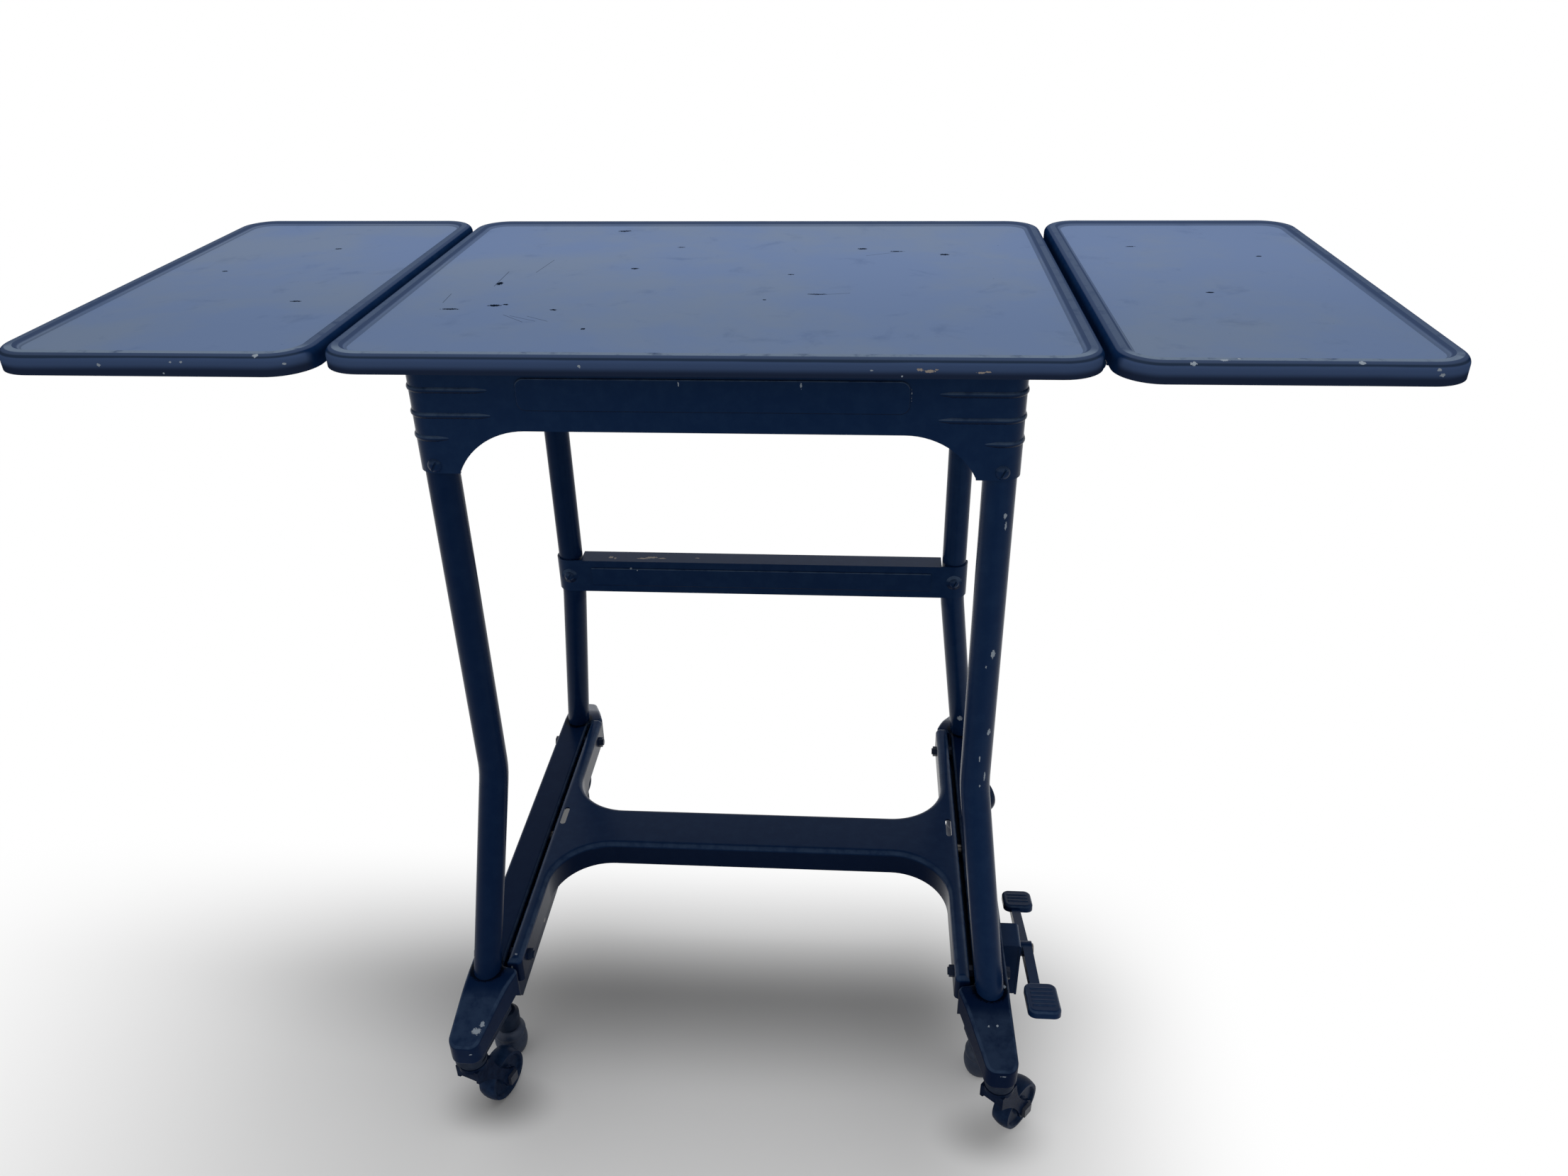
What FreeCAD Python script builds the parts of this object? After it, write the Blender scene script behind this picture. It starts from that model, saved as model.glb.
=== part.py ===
"""Drop-leaf typewriter table of pressed steel, on swivel casters, with a pedal
that lowers four feet to the floor.

Millimetres. +X is the user's right, +Y is away from the user and +Z is up.
The origin is on the floor, under the middle of the table.
"""
import FreeCAD, Part
import math
import os

V = FreeCAD.Vector
UP = V(0, 0, 1)
ALONG_X = V(1, 0, 0)
ALONG_Y = V(0, 1, 0)

# ---- overall sizes ----
table_height = 653.0          # crest of the raised rim above the floor
top_width = 475.0
top_depth = 366.0
leaf_width = 204.0
leaf_depth = 370.0
leaf_gap = 4.0                # between the middle tray and a leaf

# ---- the three trays: sheet steel with a raised rim round a sunk panel ----
sheet = 1.2
tray_corner = 27.0
top_skirt = 12.0
leaf_skirt = 13.5
rim_round = 5.5               # outer rounding of the rim
rim_crest = 8.5               # outer face to the inner end of the crest
rim_width = 13.0              # outer face to the sunk panel
panel_drop = 2.6
hem_height = 5.0              # sheet folded back on itself at the skirt's edge

# ---- legs: bent steel tube ----
leg_radius = 11.1
leg_wall = 1.6
leg_x = 183.5
leg_y = 142.0
leg_foot_x = 205.0            # where the leg's centre passes the rail's top
leg_foot_y = 174.0
leg_top_drop = 13.0           # below the crest of the trays
leg_bend_z = 310.0
leg_bend_radius = 90.0
leg_end_z = 110.0
weld_gap = 0.15               # round a leg where it seats in a pressing

# ---- apron: pressed frame under the middle tray ----
apron_wall = 1.6
apron_side_wall = 1.6
apron_edge_drop = 59.0        # crest down to the lower edge between the arches
socket_end_drop = 89.0        # crest down to the end of the corner that holds a leg
socket_reach = 16.5           # leg centre to the inner edge of its corner
arch_radius = 51.0
arch_width = 46.0             # corner's inner edge to the level edge
apron_flange = 12.0
apron_return = 81.0           # how far the front and rear pieces wrap round
apron_lap = 12.0
bead_radius = 2.6              # of the bead's own section, centre behind the face
bead_lift = 1.0
bead_point = 9.0              # length of its tapered end
bead_drops = (32.0, 49.0, 64.7)       # below the crest
bead_lengths = (43.0, 43.0, 13.5)     # from a leg's centre line
raised_panel_half = 123.5
raised_panel_drop = 23.3      # crest down to its upper edge
raised_panel_height = 21.7
raised_panel_lift = 1.2
raised_panel_round = 0.9
raised_panel_corner = 6.0

# ---- slotted screws ----
screw_head_radius = 4.8
screw_head_height = 3.1
screw_shank_radius = 2.4
screw_hole_gap = 0.15
screw_length = 7.0
screw_slot = 1.4
screw_slot_depth = 1.5
leg_screw_rise = 5.4          # above the lower end of a leg's corner

# ---- cross rail between the rear legs ----
cross_wall = 1.6
cross_low = 314.0
cross_high = 347.0
cross_flange = 20.0
cross_band_low = 321.0
cross_band_high = 340.0
cross_band_lift = 1.3
cross_band_margin = 22.0      # band's end to the leg's centre
cross_wrap = 3.0              # how far the ends go past the legs' centres
cross_boss_radius = 7.5
cross_screw_z = 330.5

# ---- base: two rails with sloping toes ----
rail_x = 207.3
rail_width = 27.0
rail_wall = 1.6
rail_top_z = 128.0
rail_low_z = 56.0
rail_low_half = 138.0         # half length of the level lower edge
toe_flank = 24.0              # depth of the toe's sides
toe_flank_y = 180.0           # where the lower edge has risen to that depth
toe_start_y = 187.0
toe_crease_z = 105.0          # where the slope meets the upright nose
toe_nose_y = 235.5
toe_nose_z = 84.0
toe_shift = 5.5               # how far the toe leans outwards
toe_lean_radius = 200.0       # of the bend where it begins to lean
toe_stem_hole = 5.75          # radius, round a caster's stem
toe_width = 24.5
toe_corner = 9.0
toe_bend = 60.0               # radius where the level top turns down into the toe
toe_root = 15.0               # inner side of the toe's root, inward of the rail's wall
toe_root_y = 169.5            # where the rail's wall turns in to the root
toe_root_end_y = 172.5
toe_root_corner = 5.0
toe_root_hollow = 4.0
rail_round = 3.0
leg_hole_lip = 1.5            # countersink round a leg
open_side = 5.0               # how far the hollow runs past the open underside
rail_side_spread = 60.0

# ---- base plate: a bridge with an arm along each rail ----
plate_top_z = 133.0
plate_depth = 24.0
plate_wall = 1.6
plate_round = 5.0
bridge_half = 25.0
arm_width = 11.9
arm_gap = 3.9                 # from the arm to the rail's wall
arm_half_length = 169.2
arm_lip = 1.6                 # turned out along the arm's lower edge, to the rail's wall
arm_lip_z = 110.2
arm_fillet = 50.0
arm_end_round = 4.0
arm_slot_inset = 4.5          # from the arm's inner edge
arm_slot_y = 12.0
arm_slot_length = 24.0
arm_slot_width = 5.0

# ---- long bolts through rail and arm ----
bolt_y = 148.0
bolt_z = 118.0
bolt_radius = 3.2
bolt_hole_gap = 0.1
bolt_head_flats = 9.0
bolt_head_height = 3.5
bolt_nut_height = 3.5
bolt_nut_gap = 0.05
bolt_tail = 1.2

# ---- leaf hinges ----
hinge_drop = 18.5             # pin's axis below the crest of the trays
hinge_y = 110.0
hinge_length = 50.0
hinge_knuckles = 5
hinge_knuckle_gap = 0.4
hinge_knuckle_radius = 4.2
hinge_pin_radius = 2.0
hinge_pin_gap = 0.05
hinge_pin_end = 0.5           # past the last knuckle
hinge_plate = 1.5
hinge_plate_drop = 5.0        # plate's upper edge below the crest
hinge_web_gap = 0.4

# ---- slotted stay that holds each leaf ----
stay_thickness = 2.5
stay_reach = 56.0             # hinge axis to the stay's pivot, along X
stay_drop = 12.0              # and below the hinge axis
stay_stud_x = 210.0
stay_stud_drop = 12.0         # below the apron's lower edge
stay_stud_radius = 3.0
stay_slot_gap = 0.3
stay_margin = 5.5             # metal round the slot
stay_pivot_radius = 2.5
stay_pivot_gap = 0.05
stay_side_gap = 0.3
stay_ear = 2.5
stay_ear_radius = 8.0
stay_foot = 22.0              # length of a bracket's foot
stay_foot_high = 18.0         # stud bracket's top above the apron's edge
stay_foot_low = 1.0
stay_cap_lip = 2.0            # a pin's head beyond the pin
stay_cap = 1.5

# ---- pedal ----
pedal_y = -108.0
pedal_z = 105.0
pedal_tilt = 12.4             # front pad up, in degrees, at rest
pedal_shaft_radius = 4.5
pedal_bar_thickness = 8.0
pedal_bar_step = 2.4          # the front arm stands this much further out
pedal_bar_height = 10.0
pedal_hub_radius = 6.5
pedal_front_arm = 73.0        # pivot to the middle of the front pad
pedal_rear_arm = 71.5
pedal_pad_width = 26.0
pedal_front_pad = 38.0
pedal_rear_pad = 27.0
pedal_pad_thickness = 6.5
pedal_pad_rise = 5.0          # pads' tops above the pivot's level
pedal_front_overhang = 3.5    # pad past the bar on the side of the rail
pedal_rear_overhang = 6.0
pedal_rib_pitch = 5.2
pedal_rib_radius = 1.3
pedal_rib_height = 0.8
pedal_rib_margin = 4.0        # rib's end to the pad's edge
pedal_pad_corner = 6.5
pedal_pad_round = 2.4
pedal_arm_haunch = 4.0        # arm's end past the middle of a pad
pedal_bracket_wall = 2.0
pedal_bracket_reach = 16.0    # rail to the outer face of the bracket
pedal_bracket_half = 13.0
pedal_bracket_top_z = 121.0
pedal_bracket_low_z = 63.0
pedal_side_gap = 0.4

# ---- sliding cam bars and what drives them ----
bar_thickness = 3.0
bar_low_z = 58.0
bar_high_z = 78.0
bar_half_length = 160.0
bar_corner = 4.0
crank_pin_z = 71.0
crank_thickness = 4.0
crank_pin_radius = 2.5
crank_eye = 6.0
crank_hub = 8.0
crank_pin_end = 2.0           # past the bar
crank_slot_gap = 0.3
crank_side_gap = 0.35
shaft_z = 117.0
shaft_radius = 5.0
shaft_half_length = 212.0
shaft_gap = 0.08
shaft_hole_gap = 0.6          # where the shaft only passes through
guide_stud_y = 60.0
guide_stud_z = 69.0
guide_stud_radius = 3.0
guide_slot_gap = 0.3
pin_end = 1.5                 # a pin's end past the wall it goes through

# ---- feet ----
foot_y = 148.0
foot_travel = 6.0
foot_clear = 3.0              # rubber above the floor at rest
foot_radius = 14.3            # widest part of the rubber tip
foot_tip_height = 27.0
foot_tip_neck = 9.5
foot_tip_draft = 2.2          # sole's edge inside the widest part
foot_spigot_radius = 6.0
foot_tip_sole = 8.0           # rubber under the spigot
foot_cup_round = 3.0
foot_fork_half = 10.0
foot_cup_radius = 10.5
foot_cup_height = 16.0
foot_groove = 2.0             # between the tip and the cup above it
foot_stem_radius = 4.5
foot_stem_top = 109.0
foot_pin_radius = 2.0
foot_pin_z = 71.0
foot_slot_gap = 0.3
foot_guide_low = 92.0
foot_guide_high = 101.0
foot_guide_radius = 8.0
foot_guide_gap = 0.08
foot_guide_wall = 1.6
foot_guide_half = 9.0
foot_guide_top = 124.0
foot_guide_room = 0.1         # inside the rail's walls

# ---- casters ----
caster_x = 212.6
caster_y = 218.0
wheel_radius = 22.0
wheel_width = 15.0
wheel_crown = 1.5
wheel_hub_radius = 7.0
wheel_dish = 2.2
wheel_rim = 4.0
wheel_slope = 1.5
caster_trail = 28.0
fork_wall = 2.5
fork_side_gap = 0.7
fork_crown_z = 59.0
fork_top_z = 71.0
fork_radius = 12.0
fork_disc = 4.0
fork_boss = 8.0               # round end of an arm
fork_neck = 9.5               # half width under the crown
fork_waist = 5.0              # how hollow the arm's edges are
axle_radius = 3.0
axle_gap = 0.08
axle_nut = 9.0
axle_nut_height = 3.0
stem_radius = 4.75
stem_length = 24.0
stem_gap = 0.06
socket_radius = 9.0
socket_flange_radius = 11.5
socket_flange = 3.4
socket_top_z = 96.0
socket_plate = 8.0            # thickness
socket_plate_show = 4.5       # below the toe's lower edge
socket_plate_half = 30.0
socket_plate_gap = 0.05
caster_play = 0.5
caster_turn = {"front_left": -20.0, "front_right": -40.0, "rear_left": 155.0, "rear_right": -140.0}

# ---- places that follow from the sizes above ----
skirt_x = top_width / 2
leaf_inner_x = skirt_x + leaf_gap
hinge_x = skirt_x + leaf_gap / 2
panel_underside = table_height - panel_drop - sheet
leg_top_z = table_height - leg_top_drop
apron_edge_z = table_height - apron_edge_drop
socket_end_z = table_height - socket_end_drop
leg_screw_z = socket_end_z + leg_screw_rise
raised_panel_high = table_height - raised_panel_drop
raised_panel_low = raised_panel_high - raised_panel_height
hinge_z = table_height - hinge_drop
hinge_plate_top = table_height - hinge_plate_drop
stay_stud_z = apron_edge_z - stay_stud_drop
apron_half_x = leg_x + leg_radius + weld_gap + apron_wall
apron_half_y = leg_y + leg_radius + weld_gap + apron_wall
apron_corner = leg_radius + weld_gap + apron_wall
rail_inner_x = rail_x - rail_width / 2
rail_outer_x = rail_x + rail_width / 2
arm_outer_x = rail_inner_x - arm_gap
arm_inner_x = arm_outer_x - arm_width
arm_slot_x = arm_inner_x + arm_slot_inset
pedal_swing = 2 * pedal_tilt
pedal_crank = pedal_z - crank_pin_z
bar_travel = 2 * pedal_crank * math.sin(math.radians(pedal_tilt))
shaft_crank = shaft_z - crank_pin_z
shaft_tilt = math.degrees(math.asin(bar_travel / 2 / shaft_crank))
tight_fit = 0.01              # between pieces that are pressed together
far_away = 400.0              # past everything, for cuts that go right through
corners = (("front_left", -1, -1), ("front_right", 1, -1), ("rear_left", -1, 1), ("rear_right", 1, 1))


# ---- small helpers ----
def box(x0, y0, z0, x1, y1, z1):
    """A box between two corners given in any order."""
    low = V(min(x0, x1), min(y0, y1), min(z0, z1))
    high = V(max(x0, x1), max(y0, y1), max(z0, z1))
    return Part.makeBox(high.x - low.x, high.y - low.y, high.z - low.z, low)


def rod(radius, start, end):
    """A round bar between two points."""
    return Part.makeCylinder(radius, (end - start).Length, start, end - start)


def rounded_face(cx, cy, width, depth, radius, z):
    """A level rectangle with round corners."""
    hx, hy = width / 2, depth / 2
    quarter = radius * math.sqrt(0.5)
    edges = []
    for sx, sy, turn in ((1, -1, 0), (1, 1, 1), (-1, 1, 2), (-1, -1, 3)):
        mx, my = cx + sx * (hx - radius), cy + sy * (hy - radius)
        first = V(mx, cy + sy * hy, z) if turn % 2 == 0 else V(cx + sx * hx, my, z)
        last = V(cx + sx * hx, my, z) if turn % 2 == 0 else V(mx, cy + sy * hy, z)
        middle = V(mx + sx * quarter, my + sy * quarter, z)
        edges.append(Part.Arc(first, middle, last).toShape())
    sides = []
    for i in range(4):
        a = edges[i].Vertexes[-1].Point
        b = edges[(i + 1) % 4].Vertexes[0].Point
        sides.append(Part.makeLine(a, b))
    wire = Part.Wire([e for pair in zip(edges, sides) for e in pair])
    return Part.Face(wire)


def polygon_face(points):
    return Part.Face(Part.makePolygon(list(points) + [points[0]]))


def hexagon_bar(flats, start, end):
    """A hexagonal bar along X, as a bolt's head or a nut."""
    radius = flats / math.sqrt(3)
    ring = []
    for i in range(6):
        angle = math.radians(60 * i)
        ring.append(V(start.x, start.y + radius * math.cos(angle), start.z + radius * math.sin(angle)))
    return polygon_face(ring).extrude(end - start)


def mirrored_x(shape):
    return shape.mirror(V(0, 0, 0), ALONG_X)


def edges_at(shape, test):
    """Edges whose every vertex passes the test."""
    return [e for e in shape.Edges if all(test(v.Point) for v in e.Vertexes)]


def slotted_screw(seat, inward):
    """A round-head screw. seat is on the face under the head, and inward points into the work."""
    out = inward * -1
    rise = screw_head_height
    sphere_radius = (screw_head_radius ** 2 + rise ** 2) / (2 * rise)
    dome = Part.makeSphere(sphere_radius, seat + out * (rise - sphere_radius))
    head = dome.common(Part.makeCylinder(screw_head_radius, rise, seat, out))
    across = inward.cross(V(0.5, 0, 0.9)).normalize()
    bottom = seat + out * (rise - screw_slot_depth)
    slot = Part.makeBox(screw_slot, 4 * screw_head_radius, rise)
    slot.translate(V(-screw_slot / 2, -2 * screw_head_radius, 0))
    slot.Placement = FreeCAD.Placement(bottom, FreeCAD.Rotation(across, out, out)).multiply(slot.Placement)
    shank = Part.makeCylinder(screw_shank_radius, screw_length, seat, inward)
    return head.cut(slot).fuse(shank).removeSplitter()


# ---- trays ----
def tray(cx, width, depth, skirt):
    """A pressed tray: rounded rim, sunk panel, skirt and hem."""
    crest = table_height
    low = crest - skirt

    def plan(inset, z):
        return rounded_face(cx, 0, width - 2 * inset, depth - 2 * inset, tray_corner - inset, z)

    def block(inset, top, rounding):
        solid = plan(inset, low).extrude(V(0, 0, top - low))
        return solid.makeFillet(rounding, edges_at(solid, lambda p: abs(p.z - top) < 1e-6))

    def sink(drop, spread):
        over = 1.0
        slope = (rim_width - rim_crest) / panel_drop
        bottom = plan(rim_width - spread, crest - panel_drop - drop)
        top = plan(rim_crest - slope * over - spread, crest - drop + over)
        return Part.makeLoft([bottom.OuterWire, top.OuterWire], True, True)

    outside = block(0, crest, rim_round)
    inside = block(sheet, crest - sheet, rim_round - sheet)
    shell = outside.cut(sink(0, 0)).cut(inside.cut(sink(sheet, 0.5 * sheet)))
    hem = plan(sheet, low).extrude(UP * hem_height)
    hem = hem.cut(plan(2 * sheet, low).extrude(UP * hem_height))
    return shell.fuse(hem).removeSplitter()


# ---- apron ----
def arch_face(half, along, across):
    """The open space under the apron, seen square to one side. half is the leg's place on that side."""
    inner = half - socket_reach
    angle = math.asin(min(1.0, arch_width / arch_radius))
    spring = inner - arch_radius * math.sin(angle)
    drop = arch_radius * (1 - math.cos(angle))
    far = across * -far_away

    def at(u, z):
        return along * u + UP * z + far

    middle_u = spring + arch_radius * math.sin(angle / 2)
    middle_z = apron_edge_z - arch_radius * (1 - math.cos(angle / 2))
    right = Part.Arc(at(spring, apron_edge_z), at(middle_u, middle_z), at(inner, apron_edge_z - drop)).toShape()
    left = Part.Arc(at(-inner, apron_edge_z - drop), at(-middle_u, middle_z), at(-spring, apron_edge_z)).toShape()
    floor = socket_end_z - 5
    straight = [
        Part.makeLine(at(-spring, apron_edge_z), at(spring, apron_edge_z)),
        Part.makeLine(at(inner, apron_edge_z - drop), at(inner, floor)),
        Part.makeLine(at(inner, floor), at(-inner, floor)),
        Part.makeLine(at(-inner, floor), at(-inner, apron_edge_z - drop)),
    ]
    wire = Part.Wire([left, straight[0], right, straight[1], straight[2], straight[3]])
    return Part.Face(wire).extrude(across * (2 * far_away))


def corner_bead(sx, sy, z, length):
    """A raised bead that runs round one corner of the apron."""
    mx, my = sx * leg_x, sy * leg_y
    sink = bead_radius - bead_lift
    face_x, face_y = sx * (apron_half_x - sink), sy * (apron_half_y - sink)
    start = V(mx - sx * (length - bead_point), face_y, z)
    end = V(face_x, my - sy * (length - bead_point), z)
    bend_a = V(mx, face_y, z)
    bend_b = V(face_x, my, z)
    turn = Part.makeTorus(apron_corner - sink, bead_radius, V(mx, my, z), UP)
    reach = 2 * apron_corner
    turn = turn.common(box(mx, my, z - bead_radius, mx + sx * reach, my + sy * reach, z + bead_radius))
    parts = [rod(bead_radius, bend_a, start), rod(bead_radius, bend_b, end), turn,
             Part.makeCone(bead_radius, sink, bead_point, start, start - bend_a),
             Part.makeCone(bead_radius, sink, bead_point, end, end - bend_b)]
    bead = parts[0].multiFuse(parts[1:])
    room = rounded_face(0, 0, 2 * (apron_half_x - apron_wall / 2), 2 * (apron_half_y - apron_wall / 2),
                        apron_corner - apron_wall / 2, z - reach).extrude(UP * 2 * reach)
    return bead.cut(room)


def raised_panel(sy):
    """The shallow raised rectangle on the front or rear of the apron."""
    height = raised_panel_high - raised_panel_low
    plate = box(-raised_panel_half, sy * (apron_half_y - apron_wall / 2), raised_panel_low,
                raised_panel_half, sy * (apron_half_y + raised_panel_lift), raised_panel_high)
    upright = [e for e in plate.Edges if abs(e.tangentAt(e.FirstParameter).y) > 0.9]
    plate = plate.makeFillet(min(raised_panel_corner, height / 3), upright)
    outer = sy * (apron_half_y + raised_panel_lift)
    return plate.makeFillet(raised_panel_round, edges_at(plate, lambda p: abs(p.y - outer) < 1e-6))


def apron_ring():
    high = panel_underside

    def plan(inset, z):
        radius = max(apron_corner - inset, 1.0)
        return rounded_face(0, 0, 2 * (apron_half_x - inset), 2 * (apron_half_y - inset), radius, z)

    wall = plan(0, socket_end_z).extrude(UP * (high - socket_end_z))
    wall = wall.cut(plan(apron_wall, socket_end_z).extrude(UP * (high - socket_end_z)))
    flange = plan(apron_wall / 2, high - apron_wall).extrude(UP * apron_wall)
    flange = flange.cut(plan(apron_flange + apron_wall, high - apron_wall).extrude(UP * apron_wall))
    return wall.fuse(flange).cut(arch_face(leg_x, ALONG_X, ALONG_Y)).cut(arch_face(leg_y, ALONG_Y, ALONG_X))


def end_apron(sy):
    """Front (sy = -1) or rear piece, with both corners."""
    split = apron_half_y - apron_return
    keep = box(-far_away, sy * split, 0, far_away, sy * far_away, table_height)
    shape = apron_ring().common(keep)
    for sx in (-1, 1):
        for drop, length in zip(bead_drops, bead_lengths):
            z = table_height - drop
            shape = shape.fuse(corner_bead(sx, sy, z, length))
        seat = V(sx * leg_x, sy * apron_half_y, leg_screw_z)
        shape = shape.cut(rod(screw_shank_radius + screw_hole_gap, seat, seat - V(0, sy * 4, 0)))
    return shape.fuse(raised_panel(sy)).removeSplitter()


def side_apron(sx):
    """Flat side piece, lapped inside the returns of the end pieces."""
    half = apron_half_y - apron_return + apron_lap
    outer = apron_half_x - apron_wall
    plate = box(sx * outer, -half, apron_edge_z, sx * (outer - apron_side_wall), half, panel_underside - apron_wall)
    shelf = box(sx * outer, -half + apron_lap + 0.5, panel_underside - apron_side_wall,
                sx * (outer - apron_flange), half - apron_lap - 0.5, panel_underside)
    return plate.cut(arch_face(leg_y, ALONG_Y, ALONG_X)).fuse(shelf).removeSplitter()


# ---- legs ----
def leg_points():
    """Top, bend and lower end of the front-right pattern leg, in the first quadrant."""
    top = V(leg_x, leg_y, leg_top_z)
    bend = V(leg_x, leg_y, leg_bend_z)
    slope = (V(leg_foot_x, leg_foot_y, rail_top_z) - bend).normalize()
    end = bend + slope * ((leg_bend_z - leg_end_z) / -slope.z)
    return top, bend, end


def leg_solid(radius, stretch=0.0):
    """A leg as a plain round bar along its bent centre line."""
    top, bend, end = leg_points()
    down = (bend - top).normalize()
    slope = (end - bend).normalize()
    half_turn = down.getAngle(slope) / 2
    tangent = leg_bend_radius * math.tan(half_turn)
    start_arc = bend - down * tangent
    end_arc = bend + slope * tangent
    inward = (slope - down).normalize()
    depth = leg_bend_radius / math.cos(half_turn) - leg_bend_radius
    top = top - down * stretch
    end = end + slope * stretch
    path = Part.Wire([
        Part.makeLine(top, start_arc),
        Part.Arc(start_arc, bend + inward * depth, end_arc).toShape(),
        Part.makeLine(end_arc, end),
    ])
    ring = Part.Wire([Part.makeCircle(radius, top, down)])
    return path.makePipeShell([ring], True, True)


def at_corner(shape, sx, sy):
    """Carry a shape from the first quadrant to another corner."""
    if sx < 0:
        shape = shape.mirror(V(0, 0, 0), ALONG_X)
    if sy < 0:
        shape = shape.mirror(V(0, 0, 0), ALONG_Y)
    return shape


def leg():
    tube = leg_solid(leg_radius).cut(leg_solid(leg_radius - leg_wall, 1.0))
    seat = V(leg_x, leg_y + leg_radius + 1, leg_screw_z)
    return tube.cut(rod(screw_shank_radius + screw_hole_gap, seat, seat - V(0, leg_wall + 3, 0)))


def rear_leg():
    seat = V(leg_x, leg_y - leg_radius - 1, cross_screw_z)
    return leg().cut(rod(screw_shank_radius + screw_hole_gap, seat, seat + V(0, leg_wall + 3, 0)))


# ---- cross rail ----
def cross_rail():
    """Pressed channel across the rear legs, wrapped round them at its ends."""
    radius = leg_radius + weld_gap + cross_wall
    front = leg_y - radius
    height = cross_high - cross_low
    web = box(-leg_x, front, cross_low, leg_x, front + cross_wall, cross_high)
    flange_half = leg_x - leg_radius - 1.0
    flanges = [box(-flange_half, front, z, flange_half, front + cross_flange, z + cross_wall)
               for z in (cross_low, cross_high - cross_wall)]
    shape = web.multiFuse(flanges)
    band_half = leg_x - cross_band_margin
    band = box(-band_half, front - cross_band_lift, cross_band_low, band_half, front + cross_wall / 2, cross_band_high)
    ends = [e for e in band.Edges if abs(e.tangentAt(e.FirstParameter).x) > 0.9 and e.CenterOfMass.y < front]
    shape = shape.fuse(band.makeFillet(cross_band_lift * 0.9, ends))
    for sx in (-1, 1):
        centre = V(sx * leg_x, leg_y, cross_low)
        wrap = Part.makeCylinder(radius, height, centre).cut(Part.makeCylinder(radius - cross_wall, height, centre))
        wrap = wrap.common(box(sx * leg_x, leg_y + cross_wrap, cross_low, sx * (leg_x + 2 * radius), leg_y - 2 * radius,
                               cross_high))
        shape = shape.fuse(wrap)
        seat = V(sx * leg_x, front, cross_screw_z)
        boss = Part.makeCone(cross_boss_radius, screw_head_radius, cross_band_lift, seat, V(0, -1, 0))
        backing = rod(cross_boss_radius, seat, seat + V(0, 2 * cross_wall, 0))
        backing = backing.common(box(sx * leg_x, front, cross_low, sx * (leg_x + radius), leg_y, cross_high))
        sleeve = Part.makeCylinder(radius - cross_wall, height, centre)
        shape = shape.fuse(boss).fuse(backing.cut(sleeve))
        hole = rod(screw_shank_radius + screw_hole_gap, seat - V(0, 3, 0), seat + V(0, 3 * cross_wall, 0))
        shape = shape.cut(hole)
    return shape.removeSplitter()


# ---- base rails ----
def rail_plan(inset, z):
    """The right rail seen from above, with toes that lean outwards."""
    half = rail_width / 2 - inset
    toe_half = toe_width / 2 - inset
    nose = toe_nose_y - inset
    toe_x = rail_x + toe_shift
    wall = rail_x + half
    lean = math.atan((toe_x + toe_half - wall) / (nose - toe_start_y))
    reach = toe_lean_radius * math.tan(lean / 2)
    deep = toe_lean_radius / math.cos(lean / 2) - toe_lean_radius
    bend = [V(wall, toe_start_y - reach, z),
            V(wall + deep * math.cos(lean / 2), toe_start_y - deep * math.sin(lean / 2), z),
            V(wall + reach * math.sin(lean), toe_start_y + reach * math.cos(lean), z)]
    rear = [V(toe_x + toe_half, nose, z), V(toe_x - toe_half, nose, z),
            V(rail_x - half - toe_root, toe_root_end_y + inset, z), V(rail_x - half, toe_root_y + inset, z)]
    other_bend = [V(p.x, -p.y, z) for p in reversed(bend)]
    front = [V(p.x, -p.y, z) for p in reversed(rear)]
    around = Part.makePolygon([bend[2]] + rear + front + [other_bend[0]]).Edges
    return Part.Face(Part.Wire([Part.Arc(*bend).toShape()] + around + [
        Part.Arc(*other_bend).toShape(), Part.makeLine(other_bend[2], bend[0])]))


def rail_side(inset, x, top_inset):
    """The rail seen from the side: level top, sloping toes and nose."""
    fall = (rail_top_z - toe_crease_z) / (toe_nose_y - toe_start_y)
    nose_y = toe_nose_y - inset
    high = rail_top_z - top_inset
    turn = math.atan(fall)
    reach = toe_bend * math.tan(turn / 2)
    half = [
        V(x, toe_start_y - reach, high),
        V(x, toe_start_y - reach + toe_bend * math.sin(turn / 2), high - toe_bend * (1 - math.cos(turn / 2))),
        V(x, toe_start_y + reach * math.cos(turn), high - reach * math.sin(turn)),
        V(x, nose_y, high - fall * (nose_y - toe_start_y)),
        V(x, nose_y, toe_nose_z),
        V(x, toe_flank_y, rail_top_z - toe_flank),
        V(x, rail_low_half, rail_low_z),
    ]
    if inset > 0:
        half[4] = V(x, nose_y, toe_nose_z - open_side)
        half[5:] = [V(x, rail_low_half + rail_side_spread, rail_low_z - 8 * open_side)]
    other = [V(p.x, -p.y, p.z) for p in half]
    bends = [Part.Arc(*half[:3]).toShape(), Part.Arc(*reversed(other[:3])).toShape()]
    around = Part.makePolygon(half[2:] + other[:1:-1]).Edges
    return Part.Face(Part.Wire([bends[0]] + around + [bends[1], Part.makeLine(other[0], half[0])]))


def rail_block(inset, top_inset, corner):
    """The space inside the rail's outline, less a skin of the given thickness."""
    plan = rail_plan(inset, 0).extrude(UP * 2 * rail_top_z)

    def upright(y):
        return [e for e in plan.Edges if abs(e.Vertexes[0].Z - e.Vertexes[-1].Z) > rail_top_z
                and abs(abs(e.CenterOfMass.y) - y) < 0.1]

    plan = plan.makeFillet(corner, upright(toe_nose_y - inset))
    plan = plan.makeFillet(toe_root_corner - inset, upright(toe_root_end_y + inset))
    plan = plan.makeFillet(toe_root_hollow + inset, upright(toe_root_y + inset))
    side = rail_side(inset, rail_x - 2 * rail_width, top_inset).extrude(ALONG_X * 4 * rail_width)
    return plan.common(side)


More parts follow.
